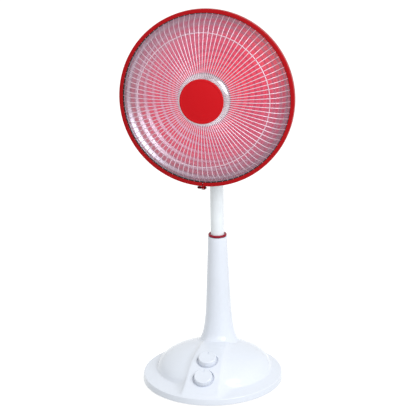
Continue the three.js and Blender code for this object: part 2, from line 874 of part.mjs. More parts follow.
const knobNear = armOuter + seatGap;
const boltEnd = knobNear + boltReach;
const boltHead = -armOuter - seatGap;
const boltShape = joined(
  crossRod(boltHeadRadius, boltHead - boltHeadThickness, boltHead, 0, pivotHeight, 6),
  crossRod(boltRadius, boltHead - boltHeadThickness, boltEnd, 0, pivotHeight),
);
piece('tilt_bolt', boltShape, 'steel', pole);

const knobOutline = new THREE.Shape(around(tiltKnobLobes * 8, (angle) => {
  const radius = tiltKnobRadius - tiltKnobLobe + tiltKnobLobe * Math.cos(tiltKnobLobes * angle);
  return new THREE.Vector2(radius * Math.cos(angle), pivotHeight + radius * Math.sin(angle));
}));
const tiltKnob = cut(
  extrudedAcross(knobOutline, knobNear, knobNear + tiltKnobThickness),
  crossRod(boltRadius + seatGap, knobNear - overrun, boltEnd + seatGap, 0, pivotHeight),
);
piece('tilt_knob', tiltKnob, 'blackPlastic', pole);

// Reflector dish: a parabola with pressed rings, a flange at the rim and a hem that the rim ring holds

const dishApex = rimForward - dishDepth;
const holeRadius = socketRadius + holeGap;
function dishHeight(radius) {
  const share = (radius ** 2 - dishFlatRadius ** 2) / (dishRadius ** 2 - dishFlatRadius ** 2);
  return dishApex + dishDepth * share;
}
const rippleStep = (rippleEnd - rippleStart) / (2 * rippleCount);
const rippled = Array.from({ length: 2 * rippleCount + 1 }, (_, i) => {
  const radius = rippleStart + i * rippleStep;
  const side = i % 2 === 0 ? -1 : 1;
  return [radius, dishHeight(radius) + side * rippleHeight];
});
const frontFace = [[holeRadius, dishApex], [dishFlatRadius, dishApex], ...rippled, [dishRadius, rimForward]];
const backFace = frontFace.map(([radius, height]) => [radius, height - dishWall]).reverse();
const hemOuter = (rimRadius - rimWall) * Math.cos(Math.PI / fineSides) - seatGap;
const hemBack = rimForward + 2 * seatGap + 2 * hoopWire + rimWall - rimDepth + rimWall + seatGap;
const dishShape = turnedRing([
  ...frontFace,
  [hemOuter, rimForward],
  [hemOuter, hemBack],
  [hemOuter - dishWall, hemBack],
  [hemOuter - dishWall, rimForward - dishWall],
  ...backFace,
], dishSides);
piece('dish_reflector', dishShape, 'aluminium', bowl);

// Rim ring with its clamp, which sits a little to the side of the lowest point

const hoopCentre = rimForward + seatGap + hoopWire;
const lipBack = hoopCentre + hoopWire + seatGap;
const rimFront = lipBack + rimWall;
const rimRear = rimFront - rimDepth;
const lipRadius = rimRadius - rimBand;
const channel = turnedRing([
  [rimRadius, rimRear],
  [rimRadius, rimFront - rimRound],
  [rimRadius - rimRound, rimFront],
  [lipRadius, rimFront],
  [lipRadius, lipBack],
  [rimRadius - rimWall, lipBack],
  [rimRadius - rimWall, rimRear + rimWall],
  [rimRadius - rearLip, rimRear + rimWall],
  [rimRadius - rearLip, rimRear],
], fineSides);
const rimMiddle = (rimFront + rimRear) / 2;
const earHole = -rimRadius - earReach / 2;
const atClamp = (shape) => shape.rotateZ(clampTurn);
function ear(left) {
  const root = -rimRadius + rimWall / 2;
  const round = earWidth / 2;
  const tab = new THREE.Shape();
  tab.moveTo(root, rimMiddle + round);
  tab.lineTo(root, rimMiddle - round);
  tab.absarc(-rimRadius - earReach + round, rimMiddle, round, -Math.PI / 2, -1.5 * Math.PI, true);
  tab.closePath();
  return atClamp(extrudedAcross(tab, left, left + earThickness, tinySides));
}
const earInner = clampGap / 2;
const earOuter = earInner + earThickness;
const splitGap = atClamp(block(
  [-earInner, earInner],
  [-rimRadius - overrun, -lipRadius + overrun],
  [rimRear - overrun, rimFront + overrun],
));
const clampHole = atClamp(
  crossRod(clampScrewRadius + seatGap, -rimBand, rimBand, earHole, rimMiddle, tinySides),
);
const rimShape = cut(joined(channel, ear(earInner), ear(-earOuter)), splitGap, clampHole);
piece('rim_ring', rimShape, 'redPaint', bowl);
const clampHead = -earOuter - seatGap;
const clampNutNear = earOuter + seatGap;
const clampNutFar = clampNutNear + clampNutThickness;
const clampEnd = clampHead - clampHeadLength;
const clampScrew = joined(
  atClamp(crossRod(clampHeadRadius, clampEnd, clampHead, earHole, rimMiddle, tinySides)),
  atClamp(crossRod(clampScrewRadius, clampEnd, clampNutFar + clampScrewEnd, earHole, rimMiddle, tinySides)),
);
piece('clamp_screw', clampScrew, 'redPaint', bowl);
const clampNut = atClamp(crossRod(clampNutRadius, clampNutNear, clampNutFar, earHole, rimMiddle, 6));
piece('clamp_nut', cut(clampNut, clampHole), 'steel', bowl);

// Guard: one wire is drawn from the side and copied round the hoop

const wirePath = [
  [rimRadius - rimWall - 2 * seatGap - hoopWire * 2, hoopCentre],
  [wireBendRadius, rimForward + wireBendRise],
  [wireShoulderRadius, rimForward + wireShoulderRise],
  [wireCrownRadius, rimForward + wireCrownRise],
  [wireEndRadius, rimForward + wireEndRise],
].map(([radius, height]) => new THREE.Vector2(radius, height));

// The path moved to one side by a distance, with mitred corners.
function sidePath(path, distance) {
  return path.map((point, i) => {
    const back = path[Math.max(i - 1, 0)];
    const ahead = path[Math.min(i + 1, path.length - 1)];
    const entry = point.clone().sub(i > 0 ? back : point.clone().multiplyScalar(2).sub(ahead)).normalize();
    const leave = (i < path.length - 1 ? ahead.clone().sub(point) : entry.clone()).normalize();
    const middle = entry.clone().add(leave).normalize();
    const stretch = distance / middle.dot(leave);
    return new THREE.Vector2(point.x - middle.y * stretch, point.y + middle.x * stretch);
  });
}
const wireSide = new THREE.Shape([
  ...sidePath(wirePath, wireWidth / 2),
  ...sidePath(wirePath, -wireWidth / 2).reverse(),
]);
const wireTurn = new THREE.Matrix4().makeBasis(
  new THREE.Vector3(1, 0, 0),
  new THREE.Vector3(0, 0, 1),
  new THREE.Vector3(0, -1, 0),
);
const oneWire = extruded(wireSide, -wireWidth / 2, wireWidth / 2).applyMatrix4(wireTurn);
const wires = mergeGeometries(around(wireCount, (angle) => oneWire.clone().rotateZ(angle)));
const hoopRadius = wirePath[0].x;
const hoopFacets = wireCount / 2;
const outerHoop = turnedRing([
  [hoopRadius + hoopWire, hoopCentre - hoopWire],
  [hoopRadius + hoopWire, hoopCentre + hoopWire],
  [hoopRadius - hoopWire, hoopCentre + hoopWire],
  [hoopRadius - hoopWire, hoopCentre - hoopWire],
], hoopFacets).rotateZ(Math.PI / wireCount);
piece('guard_wires', joined(wires, outerHoop), 'chrome', bowl);

// The middle hoop lies behind the wires, square to them.
const [shoulder, crown] = [wirePath[2], wirePath[3]];
const hoopShare = (shoulder.x - midHoopRadius) / (shoulder.x - crown.x);
const hoopSlope = crown.clone().sub(shoulder).normalize();
const hoopPoint = shoulder.clone().lerp(crown, hoopShare);
const hoopDrop = wireWidth / 2 + seatGap + hoopWire;
const midHoop = hoop(hoopPoint.x - hoopSlope.y * hoopDrop, hoopWire, midHoopSides, roundSides)
  .translate(0, 0, hoopPoint.y + hoopSlope.x * hoopDrop);
piece('guard_hoop', midHoop, 'chrome', bowl);

// Hub

const wireFall = (wireEndRise - wireCrownRise) / (wireCrownRadius - wireEndRadius);
const wireTop = rimForward + wireEndRise + wireWidth / 2;
const wireUnder = wireTop - wireWidth - wireFall * (hubPlateRadius - wireEndRadius);
const hubFront = rimForward + hubRise;
const hubBack = wireTop + seatGap;
const plateFront = wireUnder - seatGap;
const plateBack = plateFront - hubPlateThickness;
const screwBore = hubScrewRadius + seatGap;
const hubShape = cut(
  joined(
    turned([
      [0, hubBack],
      [hubRadius - hubRound, hubBack],
      [hubRadius, hubBack + hubRound / 2],
      [hubRadius, hubFront - hubCrown - hubRound / 2],
      [hubRadius - hubRound, hubFront - hubCrown],
      [hubRadius / 2, hubFront - hubCrown / 4],
      [0, hubFront],
    ], middleSides),
    rod(hubBossRadius, plateFront + seatGap, hubBack + hubRound / 2),
  ),
  rod(screwBore, plateFront - overrun, hubBack + hubRound, tinySides),
);
piece('hub_disc', hubShape, 'redPlastic', bowl);
piece('hub_plate', sleeve(hubPlateRadius, screwBore, plateBack, plateFront, insideSides), 'steel', bowl);
const hubScrewTop = plateBack - seatGap;
const hubScrew = joined(
  rod(hubScrewHead, hubScrewTop - hubScrewHeadHeight, hubScrewTop, tinySides),
  rod(hubScrewRadius, hubScrewTop - hubScrewHeadHeight, hubBack + hubRound / 2, tinySides),
);
piece('hub_screw', hubScrew, 'steel', bowl);

// Heating element: socket, core, coil and cap

const socketBack = dishApex + seatGap;
const socketFront = socketBack + socketHeadLength;
const socketShape = turned([
  [0, socketBack - socketTailLength],
  [socketRadius, socketBack - socketTailLength],
  [socketRadius, socketBack],
  [socketHead, socketBack],
  [socketHead, socketFront],
  [0, socketFront],
], smallSides);
piece('element_socket', socketShape, 'ceramic', bowl);

const coreBack = socketFront + seatGap;
const coreFront = coreBack + coreLength;
const coreFlangeBack = coreFront - coreFlangeThickness;
const capFront = rimForward + capRise;
const capBack = capFront - capWall;
const coreTip = capBack - seatGap;
const coreShape = cut(
  turned([
    [0, coreBack],
    [coreBackRadius, coreBack],
    [coreFrontRadius, coreFlangeBack],
    [coreFlangeRadius, coreFlangeBack],
    [coreFlangeRadius, coreFront],
    [coreNeckRadius, coreFront],
    [coreNeckRadius, coreTip],
    [0, coreTip],
  ], smallSides),
  rod(capScrewRadius + seatGap, coreTip - capScrewReach - seatGap, coreTip + overrun, tinySides),
);
piece('element_core', coreShape, 'ceramic', bowl);

const capBore = capScrewRadius + seatGap;
const capOutside = [
  [capBore, capFront],
  [capRadius - capRound * 1.5, capFront],
  [capRadius - capRound / 3, capFront - capRound / 3],
  [capRadius, capFront - capRound],
  [capRadius, capFront - capRimDepth],
];
const capInside = [
  [capRadius - capWall, capFront - capRimDepth],
  [capRadius - capWall, capFront - capRound],
  [capRadius - capRound / 3 - capWall, capFront - capRound / 3 - capWall / 2],
  [capRadius - capRound * 1.5 - capWall / 2, capBack],
  [capBore, capBack],
];
piece('element_cap', turnedRing([...capOutside, ...capInside], middleSides), 'chrome', bowl);
const capScrew = joined(
  rod(capScrewHead, capFront + seatGap, capFront + seatGap + capScrewHeadHeight, tinySides),
  rod(capScrewRadius, coreTip - capScrewReach, capFront + seatGap + capScrewHeadHeight, tinySides),
);
piece('cap_screw', capScrew, 'steel', bowl);

// The coil climbs the core as a helix. It leaves the socket straight along the core, bends into the helix in
// short strides, and bends back to straight before the front flange.
function coilPoints() {
  const start = coreBack;
  const end = coreFlangeBack - seatGap;
  const coilRadius = (height) => {
    const share = (height - coreBack) / (coreFlangeBack - coreBack);
    return coreBackRadius + (coreFrontRadius - coreBackRadius) * share + coilWire + coilGap;
  };
  const bends = coilBendTurns.map((heading) => [coilBendStride, THREE.MathUtils.degToRad(heading)]);
  const leadIn = [[coilLead, Math.PI / 2], ...bends];
  const leadRise = leadIn.reduce((sum, [stride, heading]) => sum + stride * Math.sin(heading), 0);
  const loopSteps = coilLoops * coilStepsPerLoop;
  const climb = (end - start - 2 * leadRise) / loopSteps;
  const points = [];
  let height = start;
  let angle = 0;
  const mark = () => {
    const radius = coilRadius(height);
    points.push(new THREE.Vector3(radius * Math.cos(angle), radius * Math.sin(angle), height));
  };
  const stride = (length, heading) => {
    angle += (length * Math.cos(heading)) / coilRadius(height);
    height += length * Math.sin(heading);
    mark();
  };
  mark();
  leadIn.forEach(([length, heading]) => stride(length, heading));
  for (let i = 0; i < loopSteps; i += 1) {
    angle += (2 * Math.PI) / coilStepsPerLoop;
    height += climb;
    mark();
  }
  leadIn.reverse().forEach(([length, heading]) => stride(length, heading));
  return points;
}

// A curve through points, with one step of the tube for each of them.
class SteppedCurve extends THREE.CatmullRomCurve3 {
  getPointAt(share, target) {
    return this.getPoint(share, target);
  }

  getTangentAt(share, target) {
    return this.getTangent(share, target);
  }
}

// The least gap between stretches of a tube that lie more than half a loop apart.
function leastGap(points, radius, apart) {
  let least = Infinity;
  for (let i = 0; i < points.length; i += 1) {
    for (let j = i + apart; j < points.length; j += 1) {
      least = Math.min(least, points[i].distanceTo(points[j]) - 2 * radius);
    }
  }
  return least;
}

const coilLine = new SteppedCurve(coilPoints());
const coilSteps = coilLine.points.length - 1;
const coilSection = new THREE.Shape(around(coilSides, (angle) => new THREE.Vector2(
  coilWire * Math.cos(angle),
  coilWire * Math.sin(angle),
)));
const coilShape = new THREE.ExtrudeGeometry(coilSection, { steps: coilSteps, extrudePath: coilLine });
piece('heating_coil', coilShape, 'hotWire', bowl);
const coilSpacing = leastGap(coilLine.points, coilWire, coilStepsPerLoop / 2);
console.log(`heating_coil: least gap to itself ${coilSpacing.toFixed(2)} mm`);

// Rear housing, its cover and what is fixed inside

const mountFront = dishApex - dishWall - seatGap;
const mountBack = mountFront - mountPlateThickness;
piece('mount_plate', sleeve(mountPlateRadius, holeRadius, mountBack, mountFront, insideSides), 'steel', bowl);

const flangeFront = mountBack - seatGap;
const flangeBack = flangeFront - housingFlange;
const housingFront = dishHeight(housingRadius - housingWall) - rippleHeight - dishWall - 2 * seatGap;
const housingShell = turned([
  [0, housingRear],
  [housingRearRadius, housingRear],
  [housingRadius, housingFront],
  [0, housingFront],
], middleSides);
const lugOutline = new THREE.Shape();
const lugTop = housingRearRadius - housingWall;
lugOutline.moveTo(-lugTop, lugFrontLength);
lugOutline.lineTo(-lugTop, -lugBackLength);
lugOutline.absarc(-headAxisHeight, 0, lugRadius, -Math.PI / 2, -1.5 * Math.PI, true);
lugOutline.closePath();
const housingShape = cut(
  housingShell,
  turned([
    [0, housingRear - overrun],
    [housingRearRadius - housingWall, housingRear - overrun],
    [housingRadius - housingWall, flangeBack],
    [0, flangeBack],
  ], middleSides),
  rod(housingRadius - housingWall, flangeFront, housingFront + overrun, middleSides),
  rod(holeRadius, flangeBack - overrun, flangeFront + overrun),
);
piece('rear_housing', housingShape, 'whitePlastic', bowl);

// The lug under the housing is a bracket of its own, whose top is hollowed to the housing's outside.
const lugSeat = turned([
  [0, housingRear - overrun],
  [housingRearRadius + seatGap, housingRear - overrun],
  [housingRearRadius + seatGap, housingRear],
  [housingRadius + seatGap, housingFront],
  [0, housingFront],
], middleSides);
const lugShape = cut(
  extrudedAcross(lugOutline, -lugHalfWidth, lugHalfWidth),
  lugSeat,
  crossRod(boltRadius + seatGap, -lugHalfWidth - overrun, lugHalfWidth + overrun, -headAxisHeight, 0),
);
piece('tilt_lug', lugShape, 'whitePlastic', bowl);

const coverFront = housingRear - seatGap;
const coverPoints = (inset, depth) => [
  [housingRearRadius - inset, coverFront],
  [housingRearRadius - inset - coverDepth / 16, coverFront - depth * 0.36],
  [housingRearRadius - inset - coverDepth / 2, coverFront - depth * 0.8],
  [housingRearRadius / 2, coverFront - depth],
];
const coverSolid = turned([
  [0, coverFront],
  ...coverPoints(0, coverDepth),
  [0, coverFront - coverDepth],
], middleSides);
const coverHollow = turned([
  [0, coverFront + overrun],
  [housingRearRadius - coverShell, coverFront + overrun],
  ...coverPoints(coverShell, coverDepth - coverShell),
  [0, coverFront - coverDepth + coverShell],
], middleSides);
const vents = Array.from({ length: ventCount }, (_, i) => {
  const y = (i - (ventCount - 1) / 2) * ventPitch;
  const reach = Math.sqrt(ventRadius ** 2 - y ** 2);
  const slot = [y - ventHeight / 2, y + ventHeight / 2];
  return block([-reach, reach], slot, [coverFront - coverDepth - overrun, coverFront]);
});
piece('rear_cover', cut(coverSolid, coverHollow, ...vents), 'whitePlastic', bowl);

const cutoutFront = flangeBack - seatGap;
const cutoutBack = cutoutFront - cutoutDepth;
const cutoutTabs = [-1, 1].map((side) => block(
  [side * cutoutRadius / 2 - cutoutTabWidth / 2, side * cutoutRadius / 2 + cutoutTabWidth / 2],
  [-cutoutTabThickness / 2, cutoutTabThickness / 2],
  [cutoutBack - cutoutTabLength, cutoutBack + cutoutDepth / 2],
));
const cutoutShape = joined(rod(cutoutRadius, cutoutBack, cutoutFront), ...cutoutTabs);
piece('thermal_cutout', cutoutShape.translate([0, cutoutOffset, 0]), 'blackPlastic', bowl);

export default heater;
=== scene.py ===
"""Looks of a pedestal radiant heater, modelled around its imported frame.

Sizes in profiles are millimetres and are turned into metres when a point is placed. The head's pieces are
modelled with their axis on Z and their front upwards, and are then laid into the head's own place.
"""

import math

import bpy
from mathutils import Matrix, Vector


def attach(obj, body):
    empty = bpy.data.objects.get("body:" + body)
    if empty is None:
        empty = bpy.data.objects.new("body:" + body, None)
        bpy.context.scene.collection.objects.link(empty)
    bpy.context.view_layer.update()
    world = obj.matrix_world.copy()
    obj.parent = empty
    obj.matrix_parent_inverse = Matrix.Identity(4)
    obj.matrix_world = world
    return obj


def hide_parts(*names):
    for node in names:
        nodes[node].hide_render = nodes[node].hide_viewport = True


bl_info = {
    "name": "Pedestal radiant heater",
    "version": (1, 0, 0),
    "blender": (4, 5, 0),
    "location": "View3D > Sidebar > Heater",
    "description": "Models the dish, guard, pole and base of a pedestal radiant heater and lights them",
    "category": "Object",
}

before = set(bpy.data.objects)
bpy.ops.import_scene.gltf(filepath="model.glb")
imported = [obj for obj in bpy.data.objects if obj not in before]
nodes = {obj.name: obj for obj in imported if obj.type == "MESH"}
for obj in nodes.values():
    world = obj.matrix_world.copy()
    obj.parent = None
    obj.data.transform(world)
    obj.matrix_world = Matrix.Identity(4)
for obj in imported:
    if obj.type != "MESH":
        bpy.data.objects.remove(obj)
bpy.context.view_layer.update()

MM = 0.001
FULL_TURN = 2 * math.pi
POLE_Y = 79.2
PIVOT_HEIGHT = 600
TILT = math.radians(7)
HEAD_AXIS_HEIGHT = 76.6
CLAMP_ANGLE = math.radians(-1.7)


def metres(point):
    return Vector(point) * MM


def place_matrix(point, turn=0.0):
    """Where a piece modelled around Z goes: turned about X, then moved."""
    return Matrix.Translation(metres(point)) @ Matrix.Rotation(turn, 4, "X")


POLE = place_matrix((0, POLE_Y, 0))
HEAD = place_matrix((0, POLE_Y, PIVOT_HEIGHT), math.pi / 2 - TILT) @ place_matrix((0, HEAD_AXIS_HEIGHT, 0))
CLAMP = Matrix.Rotation(CLAMP_ANGLE, 4, "Z")


# Lines and outlines

def polar(radius, angle):
    return radius * math.cos(angle), radius * math.sin(angle)


def even_angles(count, start=0.0):
    """This many angles round a full turn, the first one this share of a step on."""
    return [FULL_TURN * (step + start) / count for step in range(count)]


def rounded(corners, radius, steps):
    """The corners of a profile, each inner one replaced by an arc of about this radius."""
    longest_share = 0.45
    corners = [Vector(corner) for corner in corners]
    points = corners[:1]
    for before, corner, after in zip(corners, corners[1:], corners[2:]):
        shorter = min((before - corner).length, (after - corner).length)
        reach = min(radius, shorter * longest_share)
        start = corner + (before - corner).normalized() * reach
        end = corner + (after - corner).normalized() * reach
        for step in range(steps + 1):
            share = step / steps
            points.append(start.lerp(corner, share).lerp(corner.lerp(end, share), share))
    points.append(corners[-1])
    return [(point.x, point.y) for point in points]


def rounded_loop(corners, radius, steps):
    """A closed profile with every corner rounded."""
    return rounded([corners[-1], *corners, corners[0]], radius, steps)[1:-1]


def smooth_path(points, steps):
    """Points on a curve through these points, with this many steps between each two."""
    points = [Vector(point) for point in points]
    line = [2 * points[0] - points[1], *points, 2 * points[-1] - points[-2]]
    path = []
    for before, start, end, after in zip(line, line[1:], line[2:], line[3:]):
        for step in range(steps):
            t = step / steps
            path.append(0.5 * (2 * start + (end - before) * t
                               + (2 * before - 5 * start + 4 * end - after) * t ** 2
                               + (3 * start - before - 3 * end + after) * t ** 3))
    return [*path, points[-1]]


def smooth_share(value, low, high):
    """0 at low and 1 at high, with a soft start and a soft end."""
    share = min(1, max(0, (value - low) / (high - low)))
    return share * share * (3 - 2 * share)


def soft_maximum(first, second, blend):
    near = max(blend - abs(first - second), 0) / blend
    return max(first, second) + near * near * blend / 4


# Modelling tools

def only(*pieces):
    """Selects these objects and nothing else."""
    bpy.ops.object.select_all(action="DESELECT")
    for piece in pieces:
        piece.select_set(True)
    bpy.context.view_layer.objects.active = pieces[0]


def named(piece, name):
    piece.name = name
    piece.data.name = name
    return piece


def edit(piece, select="SELECT"):
    only(piece)
    bpy.ops.object.mode_set(mode="EDIT")
    bpy.ops.mesh.select_mode(type="VERT")
    bpy.ops.mesh.select_all(action=select)


def leave_edit():
    bpy.ops.object.mode_set(mode="OBJECT")


def close_up(piece, weld=1e-6):
    """Merges doubles and turns the faces outwards."""
    edit(piece)
    bpy.ops.mesh.remove_doubles(threshold=weld)
    bpy.ops.mesh.normals_make_consistent(inside=False)
    leave_edit()
    return piece


def drawn_line(name, points):
    """A line of edges pulled from point to point, left in edit mode with all of it selected."""
    bpy.ops.object.select_all(action="DESELECT")
    bpy.ops.mesh.primitive_plane_add(size=MM)
    piece = named(bpy.context.active_object, name)
    edit(piece)
    bpy.ops.mesh.merge(type="CENTER")
    bpy.ops.transform.translate(value=points[0])
    for last, point in zip(points, points[1:]):
        bpy.ops.mesh.extrude_vertices_move(TRANSFORM_OT_translate={"value": point - last})
    bpy.ops.mesh.select_all(action="SELECT")
    return piece


def spun(name, profile, steps, closed=False):
    """A profile of (radius, height) points turned about Z. A closed profile ends where it starts."""
    points = [metres((radius, 0, height)) for radius, height in profile]
    if closed:
        points.append(points[0])
    piece = drawn_line(name, points)
    bpy.ops.mesh.spin(steps=steps, angle=FULL_TURN, center=(0, 0, 0), axis=(0, 0, 1))
    leave_edit()
    return close_up(piece)


def rod(name, radius, bottom, top, steps=64, edge=0.4):
    """A round bar along Z with softened ends."""
    return spun(name, rounded([(0, bottom), (radius, bottom), (radius, top), (0, top)], edge, 3), steps)


def tube(name, outer, inner, bottom, top, edge):
    corners = [(outer, bottom), (outer, top), (inner, top), (inner, bottom)]
    return spun(name, rounded_loop(corners, edge, 2), 96, closed=True)


def hoop(name, radius, height, thickness, steps=184, sides=10):
    """A round wire or cord bent into a ring about Z."""
    section = [polar(thickness, angle) for angle in even_angles(sides)]
    return spun(name, [(radius + out, height + up) for out, up in section], steps, closed=True)


def swept_wire(name, path, radius, sides):
    """A round wire along a path, made as a curve with thickness and turned into a mesh."""
    bpy.ops.object.select_all(action="DESELECT")
    bpy.ops.curve.primitive_nurbs_path_add()
    wire = named(bpy.context.active_object, name)
    curve = wire.data
    curve.splines.clear()
    spline = curve.splines.new("POLY")
    spline.points.add(len(path) - 1)
    for point, place in zip(spline.points, path):
        point.co = (*metres(place), 1)
    curve.dimensions = "3D"
    curve.bevel_depth = radius
    curve.bevel_resolution = sides // 2 - 2
    curve.use_fill_caps = True
    bpy.ops.object.convert(target="MESH")
    return close_up(bpy.context.active_object)


def block(name, low, high):
    """A box between two corners."""
    low, high = Vector(low), Vector(high)
    bpy.ops.object.select_all(action="DESELECT")
    bpy.ops.mesh.primitive_cube_add(size=1, location=metres((low + high) / 2), scale=metres(high - low))
    piece = named(bpy.context.active_object, name)
    bpy.ops.object.transform_apply(location=True, rotation=True, scale=True)
    return piece


def pull_ring(last, ring):
    """Pulls the selected ring of edges from one centre, radius and height to the next."""
    move = metres((0, ring[0] - last[0], ring[2] - last[2]))
    bpy.ops.mesh.extrude_edges_move(TRANSFORM_OT_translate={"value": move})
    size = ring[1] / last[1]
    bpy.ops.transform.resize(value=(size, size, 1), center_override=metres((0, ring[0], ring[2])))


def pulled_rings(name, rings, sides):
    """A skin pulled from ring to ring, left in edit mode with its last ring selected."""
    centre, radius, height = rings[0]
    bpy.ops.object.select_all(action="DESELECT")
    bpy.ops.mesh.primitive_circle_add(vertices=sides, radius=radius * MM, fill_type="NOTHING",
                                      location=metres((0, centre, height)))
    piece = named(bpy.context.active_object, name)
    bpy.ops.object.transform_apply(location=True, rotation=True, scale=True)
    edit(piece)
    for last, ring in zip(rings, rings[1:]):
        pull_ring(last, ring)
    return piece


def skin_through(name, rows):
    """A skin through rows of points, left in edit mode with its open edges selected."""
    sides = len(rows[0])
    any_radius = 50
    skin = pulled_rings(name, [(0, any_radius, row) for row in range(len(rows))], sides)
    leave_edit()
    for index, vertex in enumerate(skin.data.vertices):
        row, side = divmod(index, sides)
        vertex.co = metres(rows[row][side])
    edit(skin, "DESELECT")
    bpy.ops.mesh.select_non_manifold()
    return skin


def stacked_skin(name, rows):
    """A closed skin through rows of (outline, height), capped at both ends."""
    skin = skin_through(name, [[(x, y, height) for x, y in outline] for outline, height in rows])
    bpy.ops.mesh.edge_face_add()
    leave_edit()
    return close_up(skin)


def lay(piece, matrix):
    """Puts a piece in its place, and the place into its mesh."""
    only(piece)
    piece.matrix_world = matrix
    bpy.ops.object.transform_apply(location=True, rotation=True, scale=True)
    return piece


def across(piece):
    """Turns a piece made along Z to lie along X."""
    return lay(piece, Matrix.Rotation(math.pi / 2, 4, "Y"))


def modify(piece, kind, **settings):
    only(piece)
    bpy.ops.object.modifier_add(type=kind)
    modifier = piece.modifiers[-1]
    for setting, value in settings.items():
        setattr(modifier, setting, value)
    bpy.ops.object.modifier_apply(modifier=modifier.name)
    return piece


def combine(piece, operation, *others):
    for other in others:
        modify(piece, "BOOLEAN", operation=operation, object=other, solver="MANIFOLD")
        bpy.data.objects.remove(other, do_unlink=True)
    return piece


def cut(piece, *tools):
    return combine(piece, "DIFFERENCE", *tools)


def bevelled(piece, width, segments, angle=30):
    """Softens every edge sharper than this angle."""
    return modify(piece, "BEVEL", width=width * MM, segments=segments, limit_method="ANGLE",
                  angle_limit=math.radians(angle))


def bevel_edges(piece, chosen, radius, segments):
    """Rounds the edges whose two ends pass a test."""
    edit(piece, "DESELECT")
    leave_edit()
    for edge in piece.data.edges:
        edge.select = chosen(*[piece.data.vertices[index].co for index in edge.vertices])
    only(piece)
    bpy.ops.object.mode_set(mode="EDIT")
    bpy.ops.mesh.select_mode(type="EDGE")
    bpy.ops.mesh.bevel(offset=radius * MM, segments=segments, affect="EDGES")
    leave_edit()
    return piece


def turned_copies(piece, count):
    """Copies a piece all the way round Z inside its own mesh."""
    edit(piece)
    bpy.ops.mesh.spin(steps=count, angle=FULL_TURN, center=(0, 0, 0), axis=(0, 0, 1), dupli=True)
    leave_edit()
    return close_up(piece, weld=1e-5)


def refined_copy(node, name, width):
    """A copy of a frame node with merged corners, flat faces and softened edges."""
    only(nodes[node])
    bpy.ops.object.duplicate()
    piece = named(bpy.context.active_object, name)
    edit(piece)
    bpy.ops.mesh.remove_doubles(threshold=1e-5)
    bpy.ops.mesh.dissolve_limited(angle_limit=math.radians(1))
    leave_edit()
    return bevelled(piece, width, 2, 40)


# Materials

class Nodes:
    """A node tree, with short ways to add nodes and feed their sockets."""

    def __init__(self, owner):
        owner.use_nodes = True
        self.tree = owner.node_tree

    def feed(self, socket, value):
        """Gives a socket a plain value, or links it to the output of another node."""
        if isinstance(value, bpy.types.NodeSocket):
            self.tree.links.new(value, socket)
        else:
            socket.default_value = value

    def node(self, kind, inputs=None, **settings):
        """Adds a node, sets it up, feeds its inputs and gives back its outputs."""
        node = self.tree.nodes.new("ShaderNode" + kind)
        for setting, value in settings.items():
            setattr(node, setting, value)
        for socket, value in (inputs or {}).items():
            self.feed(node.inputs[socket], value)
        return node.outputs

    def split_rays(self, seen, light):
        """One shader for what the camera and mirrors see, and another for the light that is cast."""
        path = self.node("LightPath")
        either = self.node("Math", {0: path["Is Camera Ray"], 1: path["Is Glossy Ray"]}, operation="MAXIMUM")
        return self.node("MixShader", {"Fac": either["Value"], 1: light, 2: seen})["Shader"]


class Finish(Nodes):
    """A procedural material: a surface shader with patterns on object coordinates."""

    def __init__(self, name, colour, roughness, metallic=0.0, **settings):
        self.material = bpy.data.materials.new(name)
        super().__init__(self.material)
        self.shader = self.tree.nodes["Principled BSDF"]
        self.place = self.node("TexCoord")["Object"]
        self.set(Base_Color=(*colour, 1), Roughness=roughness, Metallic=metallic, **settings)

    def set(self, **values):
        """Feeds the surface shader's sockets."""
        for socket, value in values.items():
            self.feed(self.shader.inputs[socket.replace("_", " ")], value)

    def noise(self, scale, detail):
        return self.node("TexNoise", {"Scale": scale, "Detail": detail, "Vector": self.place})["Fac"]

    def spread(self, value, low, high):
        """A value from 0 to 1 turned into one from low to high."""
        return self.node("MapRange", {"Value": value, "To Min": low, "To Max": high})["Result"]

    def ramp(self, value, stops):
        ramp = self.tree.nodes.new("ShaderNodeValToRGB")
        elements = ramp.color_ramp.elements
        while len(elements) < len(stops):
            elements.new(0.5)
        for element, (position, colour) in zip(elements, stops):
            element.position = position
            element.color = (*colour, 1)
        self.feed(ramp.inputs["Fac"], value)
        return ramp.outputs["Color"]

    def patches(self, scale, detail, first, second):
        """Two colours that run into each other in soft patches."""
        return self.ramp(self.noise(scale, detail), [(0.3, first), (0.7, second)])

    def uneven(self, scale, detail, low, high):
        """A value that wanders between low and high."""
        return self.spread(self.noise(scale, detail), low, high)

    def bumps(self, scale, detail, height, strength):
        """The normal of a finely uneven surface. The height is in millimetres."""
        relief = {"Height": self.noise(scale, detail), "Distance": height * MM, "Strength": strength}
        return self.node("Bump", relief)["Normal"]


def shaded(colour, share):
    return tuple(channel * share for channel in colour)


def moulded_plastic(name, colour, roughness, grain=0.02, **settings):
    """Gloss plastic: a faint mottle in the colour, uneven gloss, and the slight waviness of a moulding."""
    surface = Finish(name, colour, roughness, **settings)
    surface.set(Base_Color=surface.patches(14, 4, shaded(colour, 0.975), colour),
                Roughness=surface.uneven(45, 5, roughness * 0.8, roughness * 1.35),
                Normal=surface.bumps(420, 2, grain, 0.25))
    return surface.material


def sprayed_paint(name, colour, roughness, **settings):
    """Paint on metal: a soft orange-peel and a faint change of depth."""
    surface = Finish(name, colour, roughness, **settings)
    surface.set(Base_Color=surface.patches(30, 3, shaded(colour, 0.93), colour),
                Roughness=surface.uneven(80, 4, roughness * 0.8, roughness * 1.4),
                Normal=surface.bumps(900, 2, 0.03, 0.2))
    return surface.material


